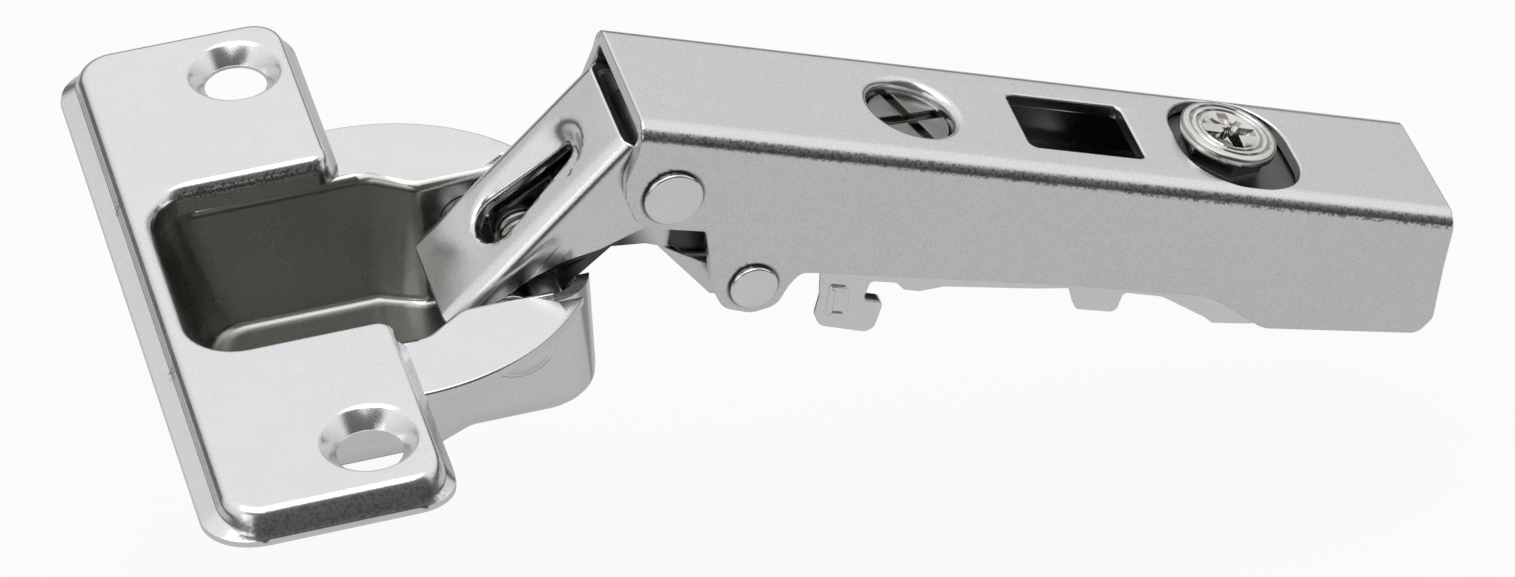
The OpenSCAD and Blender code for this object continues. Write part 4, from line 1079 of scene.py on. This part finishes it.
given = {socket.name: Value(tree, socket) for socket in inputs}
coil = make(tree, "GeometryNodeCurveSpiral", {
    "Resolution": 32, "Rotations": given["Turns"], "Start Radius": given["Coil radius"],
    "End Radius": given["Coil radius"], "Height": given["Coil length"]})
start = make(tree, "ShaderNodeCombineXYZ", [given["Coil radius"]])
cup_leg = make(tree, "GeometryNodeCurvePrimitiveLine", {"Start": start, "End": given["Cup leg"]})
link_leg = make(tree, "GeometryNodeCurvePrimitiveLine", {
    "Start": given["Link leg start"], "End": given["Link leg"]})
wires = make(tree, "GeometryNodeJoinGeometry")
for part in (coil, cup_leg, link_leg):
    tree.links.new(part.socket, wires.socket.node.inputs[0])
section = make(tree, "GeometryNodeCurvePrimitiveCircle", {
    "Resolution": 12, "Radius": given["Wire radius"]})
drawn = make(tree, "GeometryNodeCurveToMesh", {
    "Curve": wires, "Profile Curve": section, "Fill Caps": True})
rounded_wire = make(tree, "GeometryNodeSetShadeSmooth", {"Geometry": drawn})
solid = make(tree, "GeometryNodeRealizeInstances", {"Geometry": rounded_wire})
finished = make(tree, "GeometryNodeSetMaterial", {
    "Geometry": solid, "Material": given["Wire finish"]})
make(tree, "NodeGroupOutput", [finished])


def grown(name, tree, **values):
    """An empty mesh with a node tree on it, its inputs set by their identifiers, made plain."""
    piece = bpy.data.objects.new(name, bpy.data.meshes.new(name))
    scene.collection.objects.link(piece)
    modifier = piece.modifiers.new(tree.name, "NODES")
    modifier.node_group = tree
    for socket in tree.interface.items_tree:
        key = socket.name.replace(" ", "_").lower()
        if key in values:
            modifier[socket.identifier] = values[key]
    return applied(piece)


coil_end = 2 * math.pi * coil_turns
far_end = Vector((0, 0, 2 * coil_half_l))
leg_start = Vector((math.cos(coil_end), math.sin(coil_end), 0)) * coil_r + far_end
leg_way = Vector((-math.sin(coil_end), math.cos(coil_end), 0))
spring = grown(
    "wound_closing_spring", tree, coil_radius=coil_r * MM, turns=coil_turns,
    coil_length=2 * coil_half_l * MM, wire_radius=wire_r * MM,
    cup_leg=Vector((coil_r, -cup_leg_l, 0)) * MM, link_leg_start=leg_start * MM,
    link_leg=(leg_start + leg_way * link_leg_l) * MM, wire_finish=spring_steel)
spring_start, spring_end = [(cup_2 + Vector((0, side * coil_half_l, 0))) * MM for side in (-1, 1)]
stand = Matrix(((1, 0, 0), (0, 0, 1), (0, 1, 0))).to_4x4()
spring.data.transform(Matrix.Translation(spring_start) @ stand)
spring.data.flip_normals()
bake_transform(spring)
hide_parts("closing_spring")

# Inner link
# A folded channel of the same plated sheet, arched over the spring. Each of its
# two cheeks has a shallow relief, and shade is painted round its pin and in the reliefs.
relief_floor = 3.8


def inner_link_shade(place):
    """Painted shade round the pin of the inner link, and in the relief of its cheeks."""
    in_relief = arm_height(place)[1].gone(relief_floor + 0.1, relief_floor + 0.3)
    return from_axis(place, cup_2).gone(7, 10).largest(in_relief)


folded_nickel = metal("nickel_link", (0.72, 0.715, 0.72), 0.24, speckle=0.15, round_r=0.2,
                      painted_shade=inner_link_shade, depth=0.08)
shell = bmesh.new()
shell.from_mesh(frame["nodes"]["inner_link"].data)
arched_link = made("arched_link", shell, 0.0005)
relief = [(7.3, -10.4), (7.6, -12.6), (9.2, -13.35), (11.3, -13.2), (11.6, -10.4)]
shell = bmesh.new()
for side in (-1, 1):
    add_stack(shell, [[in_arm(u, side * y, w) for u, w in relief] for y in (relief_floor, 9)])
carved(arched_link, [made("relief", shell)])
dress(smoothed(arched_link), folded_nickel, "inner_link", "nickel_steel", "inner_link")

# Hidden pieces
# Washers, sleeves, bushes, pins, the nut, the block and the plates keep their
# solids. Their edges are broken in the finish, as tumbling breaks them.
turned_zinc = metal("tumbled_zinc", (0.62, 0.64, 0.68), 0.32, round_r=0.12)
# The block and the clamp plate sit deep in the arm, and their near-black colour is painted shade.
dark_zinc = metal("oiled_zinc", (0.12, 0.118, 0.11), 0.3, round_r=0.1)
for finish, nodes in (
        (turned_zinc, ("outer_link_cup_spacers", "inner_link_cup_pin", "inner_link_cup_spacers",
                       "outer_link_arm_washers", "link_spacer_sleeve", "inner_link_arm_bushes",
                       "slide_nut")),
        (spring_steel, ("side_screw_retainer", "plate_catch_spring")),
        (dark_zinc, ("threaded_block", "clamp_plate"))):
    for node in nodes:
        materials = frame["nodes"][node].data.materials
        materials.clear()
        materials.append(finish)
